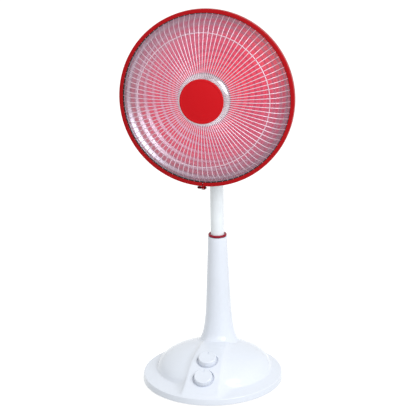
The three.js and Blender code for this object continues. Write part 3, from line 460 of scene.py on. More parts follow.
def plated_metal(name, colour, roughness, scratch, metallic=1.0):
    """Bright metal: fine scratches and smudged gloss."""
    surface = Finish(name, colour, roughness, metallic)
    surface.set(Base_Color=surface.patches(60, 4, shaded(colour, 0.9), colour),
                Roughness=surface.uneven(120, 5, roughness * 0.7, roughness * 1.6),
                Normal=surface.bumps(700, 3, scratch, 0.2))
    return surface.material


def cast_surface(name, colour, roughness, grain):
    """Iron, rubber or ceramic from a mould: cloudy, dull and grainy."""
    surface = Finish(name, colour, roughness)
    surface.set(Base_Color=surface.patches(90, 6, shaded(colour, 0.7), colour),
                Roughness=surface.uneven(200, 4, roughness * 0.85, min(1.0, roughness * 1.15)),
                Normal=surface.bumps(600, 6, grain, 0.5))
    return surface.material


def axis_distance(surface):
    """How far a point lies from the head's axis, in metres."""
    to_head = HEAD.inverted()
    mapping = {"Vector": surface.place, "Location": to_head.to_translation(), "Rotation": to_head.to_euler()}
    place = surface.node("Mapping", mapping)["Vector"]
    flat = surface.node("VectorMath", {0: place, 1: (1, 1, 0)}, operation="MULTIPLY")["Vector"]
    return surface.node("VectorMath", {0: flat}, operation="LENGTH")["Value"]


def front_side(surface):
    """1 where a surface faces the way the head does, and 0 on its back."""
    least_facing = 0.3
    normal = surface.node("TexCoord")["Normal"]
    forwards = HEAD.to_3x3() @ Vector((0, 0, 1))
    facing = surface.node("VectorMath", {0: normal, 1: forwards}, operation="DOT_PRODUCT")["Value"]
    return surface.node("Math", {0: facing, 1: least_facing}, operation="GREATER_THAN")["Value"]


def reflector_with_painted_glow(settings):
    """Bright aluminium. The element's red light on its hollow side is a painted glow that fades towards the
    rim, and its very rim carries a painted shade.
    """
    surface = Finish("reflector_aluminium_painted_glow", (0.80, 0.78, 0.80), 0.24, metallic=1.0)
    out = surface.node("MapRange", {"Value": axis_distance(surface), "From Max": DISH_RADIUS * MM})["Result"]
    front = front_side(surface)
    # The metal's tint is duller in the middle and brighter towards the rim. At the very rim it turns near
    # black, a painted shade of the deep gap behind the guard's outer hoop.
    tint_and_painted_hem_shade = surface.ramp(out, [
        (0.0, (0.22, 0.21, 0.26)),
        (0.60, (0.25, 0.24, 0.31)),
        (0.84, (0.36, 0.35, 0.41)),
        (0.994, (0.38, 0.37, 0.43)),
        (1.0, (0.03, 0.03, 0.03)),
    ])
    # Painted glow: the element's red light thrown back by the dish, painted in as emission on the hollow
    # side. It is strongest in the middle and fades to nothing at the rim.
    glow = surface.ramp(out, [
        (0.0, (0.48, 0.022, 0.065)),
        (0.45, (0.46, 0.018, 0.055)),
        (0.70, (0.41, 0.010, 0.042)),
        (0.86, (0.20, 0.006, 0.028)),
        (0.975, (0.06, 0.002, 0.006)),
        (1.0, (0.0, 0.0, 0.0)),
    ])
    plain_back = (0.62, 0.62, 0.64, 1)
    first_colour, second_colour, mixed_colour = 6, 7, 2
    choice = {"Factor": front, first_colour: plain_back, second_colour: tint_and_painted_hem_shade}
    metal = surface.node("Mix", choice, data_type="RGBA")[mixed_colour]
    surface.set(Base_Color=metal, Emission_Color=glow,
                Emission_Strength=surface.spread(front, 0.0, settings.dish_painted_glow),
                Roughness=surface.uneven(150, 5, 0.27, 0.37), Normal=surface.bumps(260, 3, 0.05, 0.25))
    return surface.material


def glowing_wire(settings):
    """Resistance wire at red heat, brighter in patches along its length."""
    surface = Finish("hot_resistance_wire", (0.55, 0.10, 0.08), 0.6, metallic=0.3)
    surface.set(Emission_Color=surface.patches(60, 2, (1.0, 0.045, 0.05), (1.0, 0.12, 0.10)),
                Emission_Strength=settings.coil_glow, Normal=surface.bumps(900, 2, 0.1, 0.5))
    return surface.material


def ceramic_with_painted_glow(settings):
    """Ceramic beside the hot wire: cream, with a painted red glow that stands in for the coil's light on it.
    """
    surface = Finish("ceramic_painted_glow", (0.78, 0.55, 0.50), 0.8)
    surface.set(Base_Color=surface.patches(120, 5, (0.66, 0.44, 0.40), (0.82, 0.62, 0.56)),
                Emission_Color=(1.0, 0.10, 0.09, 1), Emission_Strength=settings.core_painted_glow,
                Normal=surface.bumps(500, 4, 0.08, 0.5))
    return surface.material


def make_materials(context):
    body = context.scene.heater_body
    head = context.scene.heater_head
    white = tuple(body.plastic_colour)
    red = tuple(head.red_colour)
    return {
        "white_plastic": moulded_plastic("white_moulded_plastic", white, body.plastic_roughness,
                                         Coat_Weight=0.25, Coat_Roughness=0.08),
        "knob_plastic": moulded_plastic("white_knob_plastic", shaded(white, 0.985), 0.3, 0.03),
        "red_plastic": moulded_plastic("red_hub_plastic", red, 0.34, Specular_IOR_Level=0.14),
        "crimson_plastic": moulded_plastic("crimson_ring_plastic", (0.30, 0.008, 0.026), 0.34,
                                           Specular_IOR_Level=0.2),
        "black_plastic": moulded_plastic("black_textured_plastic", (0.022, 0.022, 0.024), 0.5, 0.12),
        "nylon": moulded_plastic("natural_nylon", (0.78, 0.76, 0.70), 0.5, 0.05),
        "pole_paint": sprayed_paint("white_pole_paint", (0.93, 0.965, 1.0), 0.22, Coat_Weight=0.2),
        # The rim's red is the hub's red at a 0.72 share. This is partly the rim paint's deeper red and partly
        # painted shade on the rim's band.
        "red_paint": sprayed_paint("red_rim_paint_with_painted_shade", shaded(red, 0.72), 0.35, Specular_IOR_Level=0.12),
        # Near-black red for the thumb screw and its nut is a painted shade for the dark underside of the rim.
        # The nut itself is zinc-plated steel.
        "screw_painted_shade": sprayed_paint("dark_red_screw_painted_shade", (0.07, 0.003, 0.005), 0.45,
                                    Specular_IOR_Level=0.1),
        # The guard wires are silver chrome. Their pink colour is a painted reflection of the dish's red glow.
        "chrome": plated_metal("guard_wire_plating_painted_reflection", (0.74, 0.58, 0.66), 0.32, 0.003, metallic=0.6),
        "polished": plated_metal("polished_cap_metal", (0.60, 0.61, 0.61), 0.18, 0.0002),
        "zinc": plated_metal("zinc_plated_steel", (0.50, 0.51, 0.53), 0.38, 0.03),
        "reflector": reflector_with_painted_glow(head),
        "hot_wire": glowing_wire(head),
        "ceramic_painted_glow": ceramic_with_painted_glow(head),
        "ceramic": cast_surface("plain_ceramic", (0.76, 0.70, 0.60), 0.8, 0.08),
        "iron": cast_surface("cast_iron_grain", (0.06, 0.06, 0.065), 0.75, 0.25),
        "rubber": cast_surface("black_rubber", (0.02, 0.02, 0.021), 0.85, 0.06),
    }


MATERIALS = {}

# The record's slot for a finish, where its name isn't the finish's own
SLOTS = {
    "white_plastic": "body_plastic",
    "knob_plastic": "body_plastic",
    "crimson_plastic": "red_plastic",
    "red_paint": "rim_paint",
    "screw_painted_shade": "rim_paint",
    "chrome": "guard_chrome",
    "polished": "cap_chrome",
    "zinc": "steel",
    "ceramic_painted_glow": "ceramic",
}


def finish(piece, body, material, node, crease=35, slot=None):
    """Shades a piece, dresses it, hangs it on the body that carries it, and hides the frame node it stands
    for.
    """
    only(piece)
    bpy.ops.object.shade_smooth_by_angle(angle=math.radians(crease))
    piece.data.materials.clear()
    piece.data.materials.append(MATERIALS[material])
    slot = slot or SLOTS.get(material, material)
    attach(piece, body)
    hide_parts(node)


# Settings that a user would change

class HeaterBodySettings(bpy.types.PropertyGroup):
    plastic_colour: bpy.props.FloatVectorProperty(
        name="Plastic colour", description="Colour of the white mouldings",
        subtype="COLOR", size=3, min=0, max=1, default=(0.79, 0.82, 0.90))
    plastic_roughness: bpy.props.FloatProperty(
        name="Plastic roughness", description="How dull the mouldings are", min=0, max=1, default=0.2)
    knob_radius: bpy.props.FloatProperty(
        name="Knob radius", description="Outer radius of both knobs", unit="LENGTH", default=0.0218)
    knob_rise: bpy.props.FloatProperty(
        name="Knob rise", description="How far a knob stands out of the console",
        unit="LENGTH", default=0.012)
    edge_blend: bpy.props.FloatProperty(
        name="Console blend", description="How softly the console runs into the dome",
        unit="LENGTH", default=0.012)


class HeaterHeadSettings(bpy.types.PropertyGroup):
    red_colour: bpy.props.FloatVectorProperty(
        name="Red colour", description="Colour of the rim and the hub",
        subtype="COLOR", size=3, min=0, max=1, default=(0.60, 0.004, 0.009))
    ripple_count: bpy.props.IntProperty(
        name="Ripples", description="Pressed rings in the reflector", min=1, default=9)
    ripple_height: bpy.props.FloatProperty(
        name="Ripple height", description="Half the depth of a pressed ring", unit="LENGTH", default=0.0008)
    wire_count: bpy.props.IntProperty(
        name="Guard wires", description="Radial wires in the guard", min=12, default=92)
    wire_radius: bpy.props.FloatProperty(
        name="Wire radius", description="Radius of a guard wire", unit="LENGTH", default=0.00092)
    # The dish glow is painted light: the element's reflected light drawn as emission on the dish.
    dish_painted_glow: bpy.props.FloatProperty(
        name="Dish glow", description="Strength of the element's light on the dish", min=0, default=1.0)
    coil_glow: bpy.props.FloatProperty(
        name="Coil glow", description="Strength of the coil's own light", min=0, default=2.0)
    # The core glow is a painted glow on the ceramic, drawn as emission.
    core_painted_glow: bpy.props.FloatProperty(
        name="Core glow", description="Strength of the ceramic core's glow", min=0, default=0.8)


class HeaterStageSettings(bpy.types.PropertyGroup):
    floor_size: bpy.props.FloatProperty(
        name="Floor size", description="Side of the pale floor", unit="LENGTH", default=60.0)
    key_power: bpy.props.FloatProperty(
        name="Key lamp", description="Power of the large side lamp", subtype="POWER", default=42.0)
    fill_power: bpy.props.FloatProperty(
        name="Fill lamp", description="Power of the front lamp", subtype="POWER", default=11.0)
    sky_strength: bpy.props.FloatProperty(
        name="Surround", description="Brightness of the pale surround", min=0, default=0.72)
    camera_distance: bpy.props.FloatProperty(
        name="Camera distance", description="Distance across the floor to the base",
        unit="LENGTH", default=3.6)
    camera_height: bpy.props.FloatProperty(
        name="Camera height", description="Height of the camera", unit="LENGTH", default=1.655)
    camera_lens: bpy.props.FloatProperty(
        name="Camera lens", description="Focal length in millimetres", default=143.22)


# Base

RIDGE = [(60, 72.5), (0, 74), (-58, 66), (-106.5, 42), (-132, 28), (-160, 16)]
RIDGE_PATH = smooth_path(RIDGE, 40)
CONSOLE_BACK = 60
CONSOLE_LENGTH = 220
CONSOLE_HALF_WIDTH = 31
CONSOLE_SPREAD = 17
CONSOLE_CROWN = 0.8
CONSOLE_EDGE = 8.0
CONSOLE_ROUND_SHARE = 0.92
CONSOLE_SIDE_SLOPE = 0.9
CONSOLE_FADE = (45, 75)
BRIM_RADIUS = 161.2
BRIM_HEIGHT = 16.5
BRIM_EDGE = 2.3
BRIM_INSIDE = 140
BRIM_FADE = 152
DOME_CENTRE = 20
DOME_RADIUS = 135
DOME_HEIGHT = 52
DOME_FOOT = 19.0
COLUMN_BLEND = 5.0
COVER_SIDES = 480
FOOT_CIRCLE = 140


# Where the knobs sit on the ridge, leaning as it does
TIMER_SEAT = place_matrix((0, -58, 66), math.atan2(0.287788, 0.957694))
POWER_SEAT = place_matrix((0, -106.5, 42), math.atan2(0.456862, 0.889538))


def ridge_height(y):
    """Height of the console's top line at this distance from the middle of the base."""
    if y >= RIDGE_PATH[0].x:
        return RIDGE_PATH[0].y
    for start, end in zip(RIDGE_PATH, RIDGE_PATH[1:]):
        if end.x <= y <= start.x:
            share = (start.x - y) / (start.x - end.x)
            return start.y + (end.y - start.y) * share
    return RIDGE_PATH[-1].y


def console_height(x, y):
    """Height of the console: nearly flat across, rounded at its edges and steep down its sides."""
    half_width = CONSOLE_HALF_WIDTH + CONSOLE_SPREAD * (CONSOLE_BACK - y) / CONSOLE_LENGTH
    crown = CONSOLE_CROWN * (x / half_width) ** 2
    over = max(0, abs(x) - (half_width - CONSOLE_EDGE))
    inside = min(over, CONSOLE_EDGE * CONSOLE_ROUND_SHARE)
    arc = CONSOLE_EDGE - math.sqrt(CONSOLE_EDGE ** 2 - inside ** 2)
    return ridge_height(y) - crown - arc - (over - inside) * CONSOLE_SIDE_SLOPE


def dome_height(distance):
    """Height of the plain dome this far from its middle."""
    return DOME_FOOT + DOME_HEIGHT * math.sqrt(max(0, 1 - (distance / DOME_RADIUS) ** 2))


def cover_height(x, y, plain, blend):
    """The dome or brim at a point, with the console run into it."""
    if y > CONSOLE_FADE[1]:
        return plain
    raised = soft_maximum(plain, console_height(x, y), blend)
    brim = smooth_share(math.hypot(x, y), BRIM_FADE, BRIM_RADIUS)
    back = smooth_share(y, *CONSOLE_FADE)
    return plain + (raised - plain) * (1 - brim) * (1 - back)


def cover_rings():
    """Rings of the cover from the foot of its skirt to the top of its dome: centre, radius and height."""
    rings = [(0, 164.7, 2.0), (0, 165.2, 2.6), (0, 164.4, 8.0), (0, 163.5, 13.6)]
    for step in range(1, 5):
        out, up = polar(BRIM_EDGE, math.radians(90 * step / 4))
        rings.append((0, BRIM_RADIUS + out, BRIM_HEIGHT - BRIM_EDGE + up))
    for step in range(1, 15):
        share = step / 14
        rings.append((DOME_CENTRE * share, BRIM_RADIUS + (BRIM_INSIDE - BRIM_RADIUS) * share,
                      BRIM_HEIGHT + (DOME_FOOT - BRIM_HEIGHT) * share))
    hollow = [(138.3, 19.4), (136.9, 20.3), (135.9, 21.7), (135.2, 23.4)]
    rings += [(DOME_CENTRE, radius, height) for radius, height in hollow]
    radii = [DOME_RADIUS * math.cos(math.radians(6.5 + 2.6 * step)) for step in range(14)]
    radii += [98 - 2.4 * step for step in range(41)]
    return rings + [(DOME_CENTRE, radius, dome_height(radius)) for radius in radii]


def add_base_cover(blend):
    rings = cover_rings()
    cover = pulled_rings("cover", rings, COVER_SIDES)
    bpy.ops.mesh.merge(type="CENTER")
    leave_edit()
    for vertex in cover.data.vertices:
        x, y, z = vertex.co / MM
        if z > BRIM_HEIGHT - 0.02:
            vertex.co.z = cover_height(x, y, z, blend) * MM
    edit(cover, "DESELECT")
    bpy.ops.mesh.select_non_manifold()
    underside = [rings[0], (0, 162.6, 2.0), (0, 161.2, 13.2), (0, 3.0, 13.2)]
    for last, ring in zip(underside, underside[1:]):
        pull_ring(last, ring)
    bpy.ops.mesh.merge(type="CENTER")
    leave_edit()
    close_up(cover)
    recess = rounded([(0, -3.5), (25.5, -3.5), (25.5, 40), (0, 40)], 1.0, 4)
    cut(cover, *[lay(spun("recess", recess, 128), seat) for seat in (TIMER_SEAT, POWER_SEAT)])
    finish(cover, "base", "white_plastic", "base_cover", crease=32)


class HEATER_OT_base(bpy.types.Operator):
    """Models the base cover with its console, the bottom plate, the feet and the cord gland"""
    bl_idname = "heater.base"
    bl_label = "Base"

    def execute(self, context):
        add_base_cover(context.scene.heater_body.edge_blend / MM)
        plate_line = [(0, 4), (150, 4), (152, 4.4), (160.2, 4.4), (160.2, 5.5), (0, 5.5)]
        plate = spun("bottom_plate", rounded(plate_line, 0.5, 2), 128)
        cut(plate, lay(rod("plunger_hole", 4.4, 0, 10), place_matrix((75, 30, 0))))
        finish(plate, "base", "zinc", "base_plate")
        foot_line = rounded([(0, 0.5), (4, 0.5), (4.6, 0), (11, 0), (12, 0.8), (11.5, 3.7), (0, 3.7)], 0.5, 2)
        for number, angle in enumerate(even_angles(4, 0.5), 1):
            foot = spun(f"rubber_foot_{number}", foot_line, 48)
            lay(foot, place_matrix((*polar(FOOT_CIRCLE, angle), 0)))
            finish(foot, "base", "rubber", f"foot_{number}")
        finish(refined_copy("cord_gland", "gland", 0.2), "base", "rubber", "cord_gland")
        return {"FINISHED"}


# Column and pole

COLUMN_SIDES = 128
COLUMN_ROWS = 22
COLUMN_FOOT = 52.0
COLUMN_WAIST = Vector((29.6, 163))
COLUMN_LIP = Vector((22.2, 328))
COLUMN_BORE = 20.3


def column_line(angle):
    """The column's profile on one side: out at the foot, up the outside, over the lip and down the inside."""
    ground = []
    for radius in (39, COLUMN_FOOT):
        x, y = polar(radius, angle)
        y += POLE_Y
        ground.append(cover_height(x, y, dome_height(math.hypot(x, y - DOME_CENTRE)), COLUMN_BLEND))
    near, foot = ground
    line = [(COLUMN_FOOT - 0.3, foot - 1.2)]
    start, end = COLUMN_WAIST, Vector((COLUMN_FOOT, foot + 0.2))
    high, low = Vector((32.0, 110)), Vector((38.0, near + 2))
    for row in range(COLUMN_ROWS, -1, -1):
        t = row / COLUMN_ROWS
        line.append(start * (1 - t) ** 3 + high * 3 * t * (1 - t) ** 2
                    + low * 3 * t * t * (1 - t) + end * t ** 3)
    line += [COLUMN_WAIST.lerp(COLUMN_LIP, step / 6) for step in range(1, 6)]
    lip = [COLUMN_WAIST, COLUMN_LIP, (COLUMN_BORE, COLUMN_LIP.y), (COLUMN_BORE, 290)]
    line += rounded(lip, 1.0, 3)[1:]
    line += [(25, 200), (28, 100), (29, foot - 1.2)]
    return [(*polar(radius, angle), height) for radius, height in line]


class HEATER_OT_column(bpy.types.Operator):
    """Models the tapered column, its red ring and the sliding pole"""
    bl_idname = "heater.column"
    bl_label = "Column and pole"

    def execute(self, context):
        lines = [column_line(angle) for angle in even_angles(COLUMN_SIDES)]
        column = skin_through("column_shroud", list(zip(*lines)))
        bpy.ops.mesh.bridge_edge_loops()
        leave_edit()
        lay(close_up(column), POLE)
        finish(column, "base", "white_plastic", "column", crease=40)
        ring = lay(hoop("red_ring", 19.15, 331.1, 2.75, steps=96, sides=16), POLE)
        finish(ring, "base", "crimson_plastic", "column_ring", crease=60)
        pole = lay(tube("sliding_pole", 16, 14, 215, 522.4, 0.8), POLE)
        finish(pole, "mast", "pole_paint", "inner_pole")
        return {"FINISHED"}


# Knobs

def add_knob(name, body, node, seat, settings):
    radius = settings.knob_radius / MM
    top = settings.knob_rise / MM
    outline = [(0, -3.0), (radius - 0.6, -3.0), (radius, -2.2), (radius, 0.6), (radius - 1.0, top - 1.6),
               (radius - 2.8, top), (radius - 4.6, top - 0.5), (0, top - 1.1)]
    knob = spun(name, rounded(outline, 0.9, 4), 128)
    groove = lay(rod("grip_groove", 0.55, -1.0, top - 3.2, 12, 0.2), place_matrix((radius + 0.05, 0, 0)))
    pointer = block("pointer_slot", (-0.9, radius - 11, top - 2.4), (0.9, radius - 4.2, top + 5))
    cut(knob, turned_copies(groove, 48), bevelled(pointer, 0.5, 2))
    lay(knob, seat)
    finish(knob, body, "knob_plastic", node)


class HEATER_OT_knobs(bpy.types.Operator):
    """Models the timer knob and the power knob on the console"""
    bl_idname = "heater.knobs"
    bl_label = "Knobs"

    def execute(self, context):
        settings = context.scene.heater_body
        add_knob("upper_knob", "timer_dial", "timer_knob", TIMER_SEAT, settings)
        add_knob("lower_knob", "power_dial", "power_knob", POWER_SEAT, settings)
        return {"FINISHED"}


# Neck and tilt joint

SOCKET_RADIUS = 20.3
CASE_FRONT_RADIUS = 27
CASE_REAR_RADIUS = 29
CASE_REAR_CENTRE = 20
CASE_WALL = 2.6
SWELL_START = 498
SWELL_HEIGHT = 30


def neck_outline(swell, inset=0.0):
    """The neck from above, from its round socket at a swell of 0 to the drive's longer case at 1."""
    points = []
    for angle in even_angles(96, 0.5):
        behind = math.sin(angle) > 0
        full = CASE_REAR_RADIUS if behind else CASE_FRONT_RADIUS
        x, y = polar(SOCKET_RADIUS + (full - SOCKET_RADIUS) * swell - inset, angle)
        points.append((x, y + CASE_REAR_CENTRE * swell if behind else y))
    return points


def neck_shell():
    """The housing: a socket round the pole that swells into the drive's case."""
    socket = ((480.7, 1.0), (481.1, 0.3), (482.0, 0.0), (492.0, 0.0), (SWELL_START, 0.0))
    case = ((545.0, 0.0), (560.6, 0.0), (561.8, 0.35), (562.4, 1.1))
    rows = [(neck_outline(0, inset), height) for height, inset in socket]
    rows += [(neck_outline(smooth_share(step, 0, 10)), SWELL_START + SWELL_HEIGHT * step / 10)
             for step in range(1, 11)]
    rows += [(neck_outline(1, inset), height) for height, inset in case]
    return stacked_skin("neck_case", rows)


def tilt_grip():
    """A five-lobed grip with a raised centre, a softened rim and a blind bore for the bolt."""
    radius, lobe, lobes = 13.9, 1.6, 5
    rows = []
    for height, inset in ((0.0, 1.0), (0.4, 0.35), (1.2, 0.0), (9.5, 0.0), (12.0, 0.6), (13.6, 1.9),
                          (14.4, 3.8), (14.6, 6.0), (15.0, 8.0), (15.0, 11.0)):
        outline = [polar(radius + lobe * math.cos(lobes * angle) - inset, angle)
                   for angle in even_angles(160)]
        rows.append((outline, height))
    grip = cut(stacked_skin("tilt_grip_knob", rows), rod("bolt_bore", 4.3, -5, 11.3))
    return lay(across(grip), place_matrix((15.2, POLE_Y, PIVOT_HEIGHT)))


class HEATER_OT_neck(bpy.types.Operator):
    """Models the neck with its lid and bush, and the tilt joint with its bolt and knob"""
    bl_idname = "heater.neck"
    bl_label = "Neck and tilt joint"

    def execute(self, context):
        inside = [(neck_outline(1, CASE_WALL), height) for height in (525.7, 580)]
        hollow = stacked_skin("neck_hollow", inside)
        shell = lay(cut(neck_shell(), hollow, rod("pole_socket", 16.3, 470, 522.7)), POLE)
        finish(shell, "mast", "white_plastic", "neck_housing", crease=40)

        edge = ((562.7, 0.5), (563.0, 0.1), (564.3, 0.0), (565.2, 0.4), (565.7, 1.2))
        lid = stacked_skin("neck_cap", [(neck_outline(1, inset), height) for height, inset in edge])
        holes = [rod("lid_hole", 11.3, 550, 580)]
        for x, y in ((-19, 36), (19, 36), (0, -21)):
            holes.append(lay(rod("lid_screw", 2.2, 565.0, 570, 24, 0.2), place_matrix((x, y, 0))))
        lay(cut(lid, *holes), POLE)
        finish(lid, "mast", "white_plastic", "neck_lid", crease=40)

        corners = [(11, 557.7), (11, 566), (14, 566), (14, 567.7), (8.4, 567.7), (8.4, 557.7)]
        bush = lay(spun("turning_bush", rounded_loop(corners, 0.4, 2), 64, closed=True), POLE)
        finish(bush, "mast", "nylon", "swivel_bush")

        finish(refined_copy("tilt_fork", "tilt_yoke", 0.6), "swivel", "zinc", "tilt_fork")
        finish(refined_copy("tilt_bolt", "tilt_hinge_bolt", 0.5), "swivel", "zinc", "tilt_bolt")
        finish(tilt_grip(), "tilt_grip", "black_plastic", "tilt_knob")
        return {"FINISHED"}


# Rear of the head

LUG_HALF_WIDTH = 9.6
LUG_EYE = 11.0
VENT_REACH = 42
VENT_PITCH = 9
VENT_HALF_HEIGHT = 1.6


def rear_lug():
    """The tongue under the housing that the tilt bolt goes through, drawn from the side and pulled across."""
    outline = [(-52.6, 20), (-52.6, -24)]
    for step in range(17):
        y, z = polar(LUG_EYE, math.radians(-90 - 180 * step / 16))
        outline.append((y - HEAD_AXIS_HEIGHT, z))
    lug = drawn_line("lug", [metres((-LUG_HALF_WIDTH, y, z)) for y, z in outline])
    bpy.ops.mesh.edge_face_add()
    width = metres((2 * LUG_HALF_WIDTH, 0, 0))
    bpy.ops.mesh.extrude_region_move(TRANSFORM_OT_translate={"value": width})
    leave_edit()
    bevelled(close_up(lug), 0.8, 3)
    bore = across(rod("lug_bore", 4.3, -20, 20))
    return cut(lug, lay(bore, place_matrix((0, -HEAD_AXIS_HEIGHT, 0))))


def vent_slot(y):
    reach = math.sqrt(VENT_REACH ** 2 - y ** 2)
    slot = block("vent_slot", (-reach, y - VENT_HALF_HEIGHT, -60), (reach, y + VENT_HALF_HEIGHT, -31))
    return bevel_edges(slot, lambda first, second: abs(first.z - second.z) > MM, 1.5, 4)


class HEATER_OT_rear(bpy.types.Operator):
    """Models the housing behind the dish, its vented cover and the plate that carries the dish"""
    bl_idname = "heater.rear"
    bl_label = "Rear housing"

    def execute(self, context):
        wall = [(55, -30), (60, 25.6), (57.4, 25.6), (57.1, 19.6), (18.5, 19.6), (18.5, 16.6), (57.0, 16.6),
                (52.4, -30)]
        shell = lay(spun("rear_case", rounded_loop(wall, 0.6, 2), 128, closed=True), HEAD)
        finish(shell, "head", "white_plastic", "rear_housing", crease=32)

        saddle = spun("case_outside", [(0, -40), (55.3, -40), (55.3, -30), (60.3, 25.6), (0, 25.6)], 128)
        lug = lay(cut(rear_lug(), saddle), HEAD)
        finish(lug, "head", "white_plastic", "tilt_lug", crease=32)

        outside = rounded([(55, -30.3), (54.2, -36.5), (47, -43.2), (27, -46.3), (0, -46.3)], 5, 6)
        inside = rounded([(0, -44.1), (26, -44.1), (45.4, -41.2), (52, -35.6), (52.8, -30.3)], 5, 6)
        cover = spun("rear_grille", outside + inside, 128, closed=True)
        cut(cover, *[vent_slot(row * VENT_PITCH) for row in range(-3, 4)])
        lay(cover, HEAD)
        finish(cover, "head", "white_plastic", "rear_cover", crease=32)

        plate = lay(tube("dish_plate", 48, DISH_HOLE, 19.9, 21.9, 0.3), HEAD)
        finish(plate, "head", "zinc", "mount_plate")
        return {"FINISHED"}


# Reflector

DISH_HOLE = 18.5
DISH_FLAT = 36
DISH_RADIUS = 190
DISH_BACK = 23
DISH_DEPTH = 86
RIPPLE_START = 40.0
RIPPLE_END = 186.0


def dish_height(radius):
    """Height of the parabola at this radius, without its ripples."""
    return DISH_BACK + DISH_DEPTH * (radius ** 2 - DISH_FLAT ** 2) / (DISH_RADIUS ** 2 - DISH_FLAT ** 2)


class HEATER_OT_reflector(bpy.types.Operator):
    """Models the reflector dish with its pressed rings and its hem"""
    bl_idname = "heater.reflector"
    bl_label = "Reflector"

    def execute(self, context):
        settings = context.scene.heater_head
        wave = settings.ripple_height / MM
        steps = settings.ripple_count * 8
        front = [(DISH_HOLE, DISH_BACK), (DISH_FLAT, DISH_BACK)]
        for step in range(steps + 1):
            radius = RIPPLE_START + (RIPPLE_END - RIPPLE_START) * step / steps
            front.append((radius, dish_height(radius) - wave * math.cos(FULL_TURN * step / 8)))
        back = [(radius + 0.35, height - 0.75) for radius, height in reversed(front[1:])]
        edge = [(188.6, dish_height(188.6)), (DISH_RADIUS, 109.0), (197.0, 109.0), (197.6, 108.6)]
        hem = [(197.6, 100.8), (196.8, 100.8), (196.8, 108.0), (190.4, 108.2)]
        back.insert(0, (edge[0][0] + 0.35, edge[0][1] - 0.75))
        dish = spun("dish", [*front, *edge, *hem, *back, (DISH_HOLE, 22.2)], 160, closed=True)
        lay(dish, HEAD)
        finish(dish, "head", "reflector", "dish_reflector", crease=50)
        return {"FINISHED"}


# Rim

RIM_RADIUS = 200.0
RIM_FRONT = 114.8
RIM_REAR = 98.8
RIM_FRONT_LIP = 8.6
RIM_REAR_LIP = 8.0
RIM_WALL = 1.5
RIM_LIP_WALL = 1.6
CLAMP_SCREW = CLAMP @ place_matrix((0, -204.5, 106.8))


def rim_ear(left):
    """One of the two tabs that the thumb screw draws together."""
    ear = block("ear", (left, -209, 101.8), (left + 2, -199.2, 111.8))
    bevel_edges(ear, lambda first, second: abs(first.x - second.x) > MM and first.y < -205 * MM, 4.9, 8)
    return lay(bevelled(ear, 0.3, 2, 50), CLAMP)


def rim_band():
    """The channel round the dish's edge, open towards the axis and split at the clamp."""
    web = RIM_RADIUS - RIM_WALL
    front_inside, rear_inside = RIM_FRONT - RIM_LIP_WALL, RIM_REAR + RIM_LIP_WALL
    front_lip, rear_lip = RIM_RADIUS - RIM_FRONT_LIP, RIM_RADIUS - RIM_REAR_LIP
    corners = [(RIM_RADIUS, RIM_REAR), (RIM_RADIUS, RIM_FRONT), (front_lip, RIM_FRONT),
               (front_lip, front_inside), (web, front_inside), (web, rear_inside), (rear_lip, rear_inside),
               (rear_lip, RIM_REAR)]
    band = spun("rim_band", rounded_loop(corners, 1.1, 3), 256, closed=True)
    cut(band, lay(block("split", (-0.7, -203, 90), (0.7, -188, 130)), CLAMP))
    combine(band, "UNION", rim_ear(-2.7), rim_ear(0.7))
    return cut(band, lay(across(rod("screw_way", 1.9, -12, 12, 32)), CLAMP_SCREW))


class HEATER_OT_rim(bpy.types.Operator):
    """Models the split rim ring with its two ears, the thumb screw and the nut"""
    bl_idname = "heater.rim"
    bl_label = "Rim ring"

    def execute(self, context):
        finish(lay(rim_band(), HEAD), "head", "red_paint", "rim_ring", crease=32)

        outline = [(0, -13.0), (2.4, -13.0), (3.0, -12.0), (3.0, -5.4), (2.2, -3.8), (2.2, -3.0), (1.6, -3.0),
                   (1.6, 8.0), (0, 8.0)]
        screw = spun("thumb_screw", rounded(outline, 0.3, 2), 48)
        groove = lay(rod("knurl", 0.3, -11.6, -5.8, 8, 0.1), place_matrix((3.05, 0, 0)))
        cut(screw, turned_copies(groove, 24))
        lay(across(screw), HEAD @ CLAMP_SCREW)
        finish(screw, "head", "screw_painted_shade", "clamp_screw")
        nut = refined_copy("clamp_nut", "thumb_screw_nut", 0.25)
        finish(nut, "head", "screw_painted_shade", "clamp_nut", slot="steel")
        return {"FINISHED"}


# Guard

WIRE_POINTS = [(194.2, 111.1), (190.8, 111.3), (187.8, 113.2), (183.6, 119.4), (179.2, 127.6), (174.6, 135.0),
               (169.2, 140.2), (162.0, 143.8), (151.0, 147.4), (136.0, 151.2), (120.0, 154.4), (98.0, 156.9),
               (70.0, 158.2), (44.0, 158.6)]


class HEATER_OT_guard(bpy.types.Operator):
    """Models the wire guard with its hoops, and the red hub with its plate"""
    bl_idname = "heater.guard"
    bl_label = "Guard and hub"

    def execute(self, context):
        settings = context.scene.heater_head
        path = [(radius, 0, height) for radius, height in WIRE_POINTS]
        guard = turned_copies(swept_wire("guard", path, settings.wire_radius, 8), settings.wire_count)
        only(guard, hoop("outer_hoop", *WIRE_POINTS[0], 1.7))
        bpy.ops.object.join()
        lay(guard, HEAD)
        finish(guard, "head", "chrome", "guard_wires", crease=60)
        middle = lay(hoop("guard_middle_hoop", 150.3, 145.3, 1.1), HEAD)
        finish(middle, "head", "chrome", "guard_hoop", crease=60)

        outline = [(0, 160.0), (47.5, 160.0), (50, 161.4), (50, 162.8), (47.2, 163.8), (43.5, 163.4),
                   (42.0, 163.7), (30, 164.8), (15, 165.5), (0, 165.7)]
        hub = lay(spun("hub", rounded(outline, 1.2, 4), 160), HEAD)
        finish(hub, "head", "red_plastic", "hub_disc")
        plate = lay(tube("hub_backing", 47, 2.3, 155.7, 157.2, 0.3), HEAD)
        finish(plate, "head", "zinc", "hub_plate")
        return {"FINISHED"}


# Element

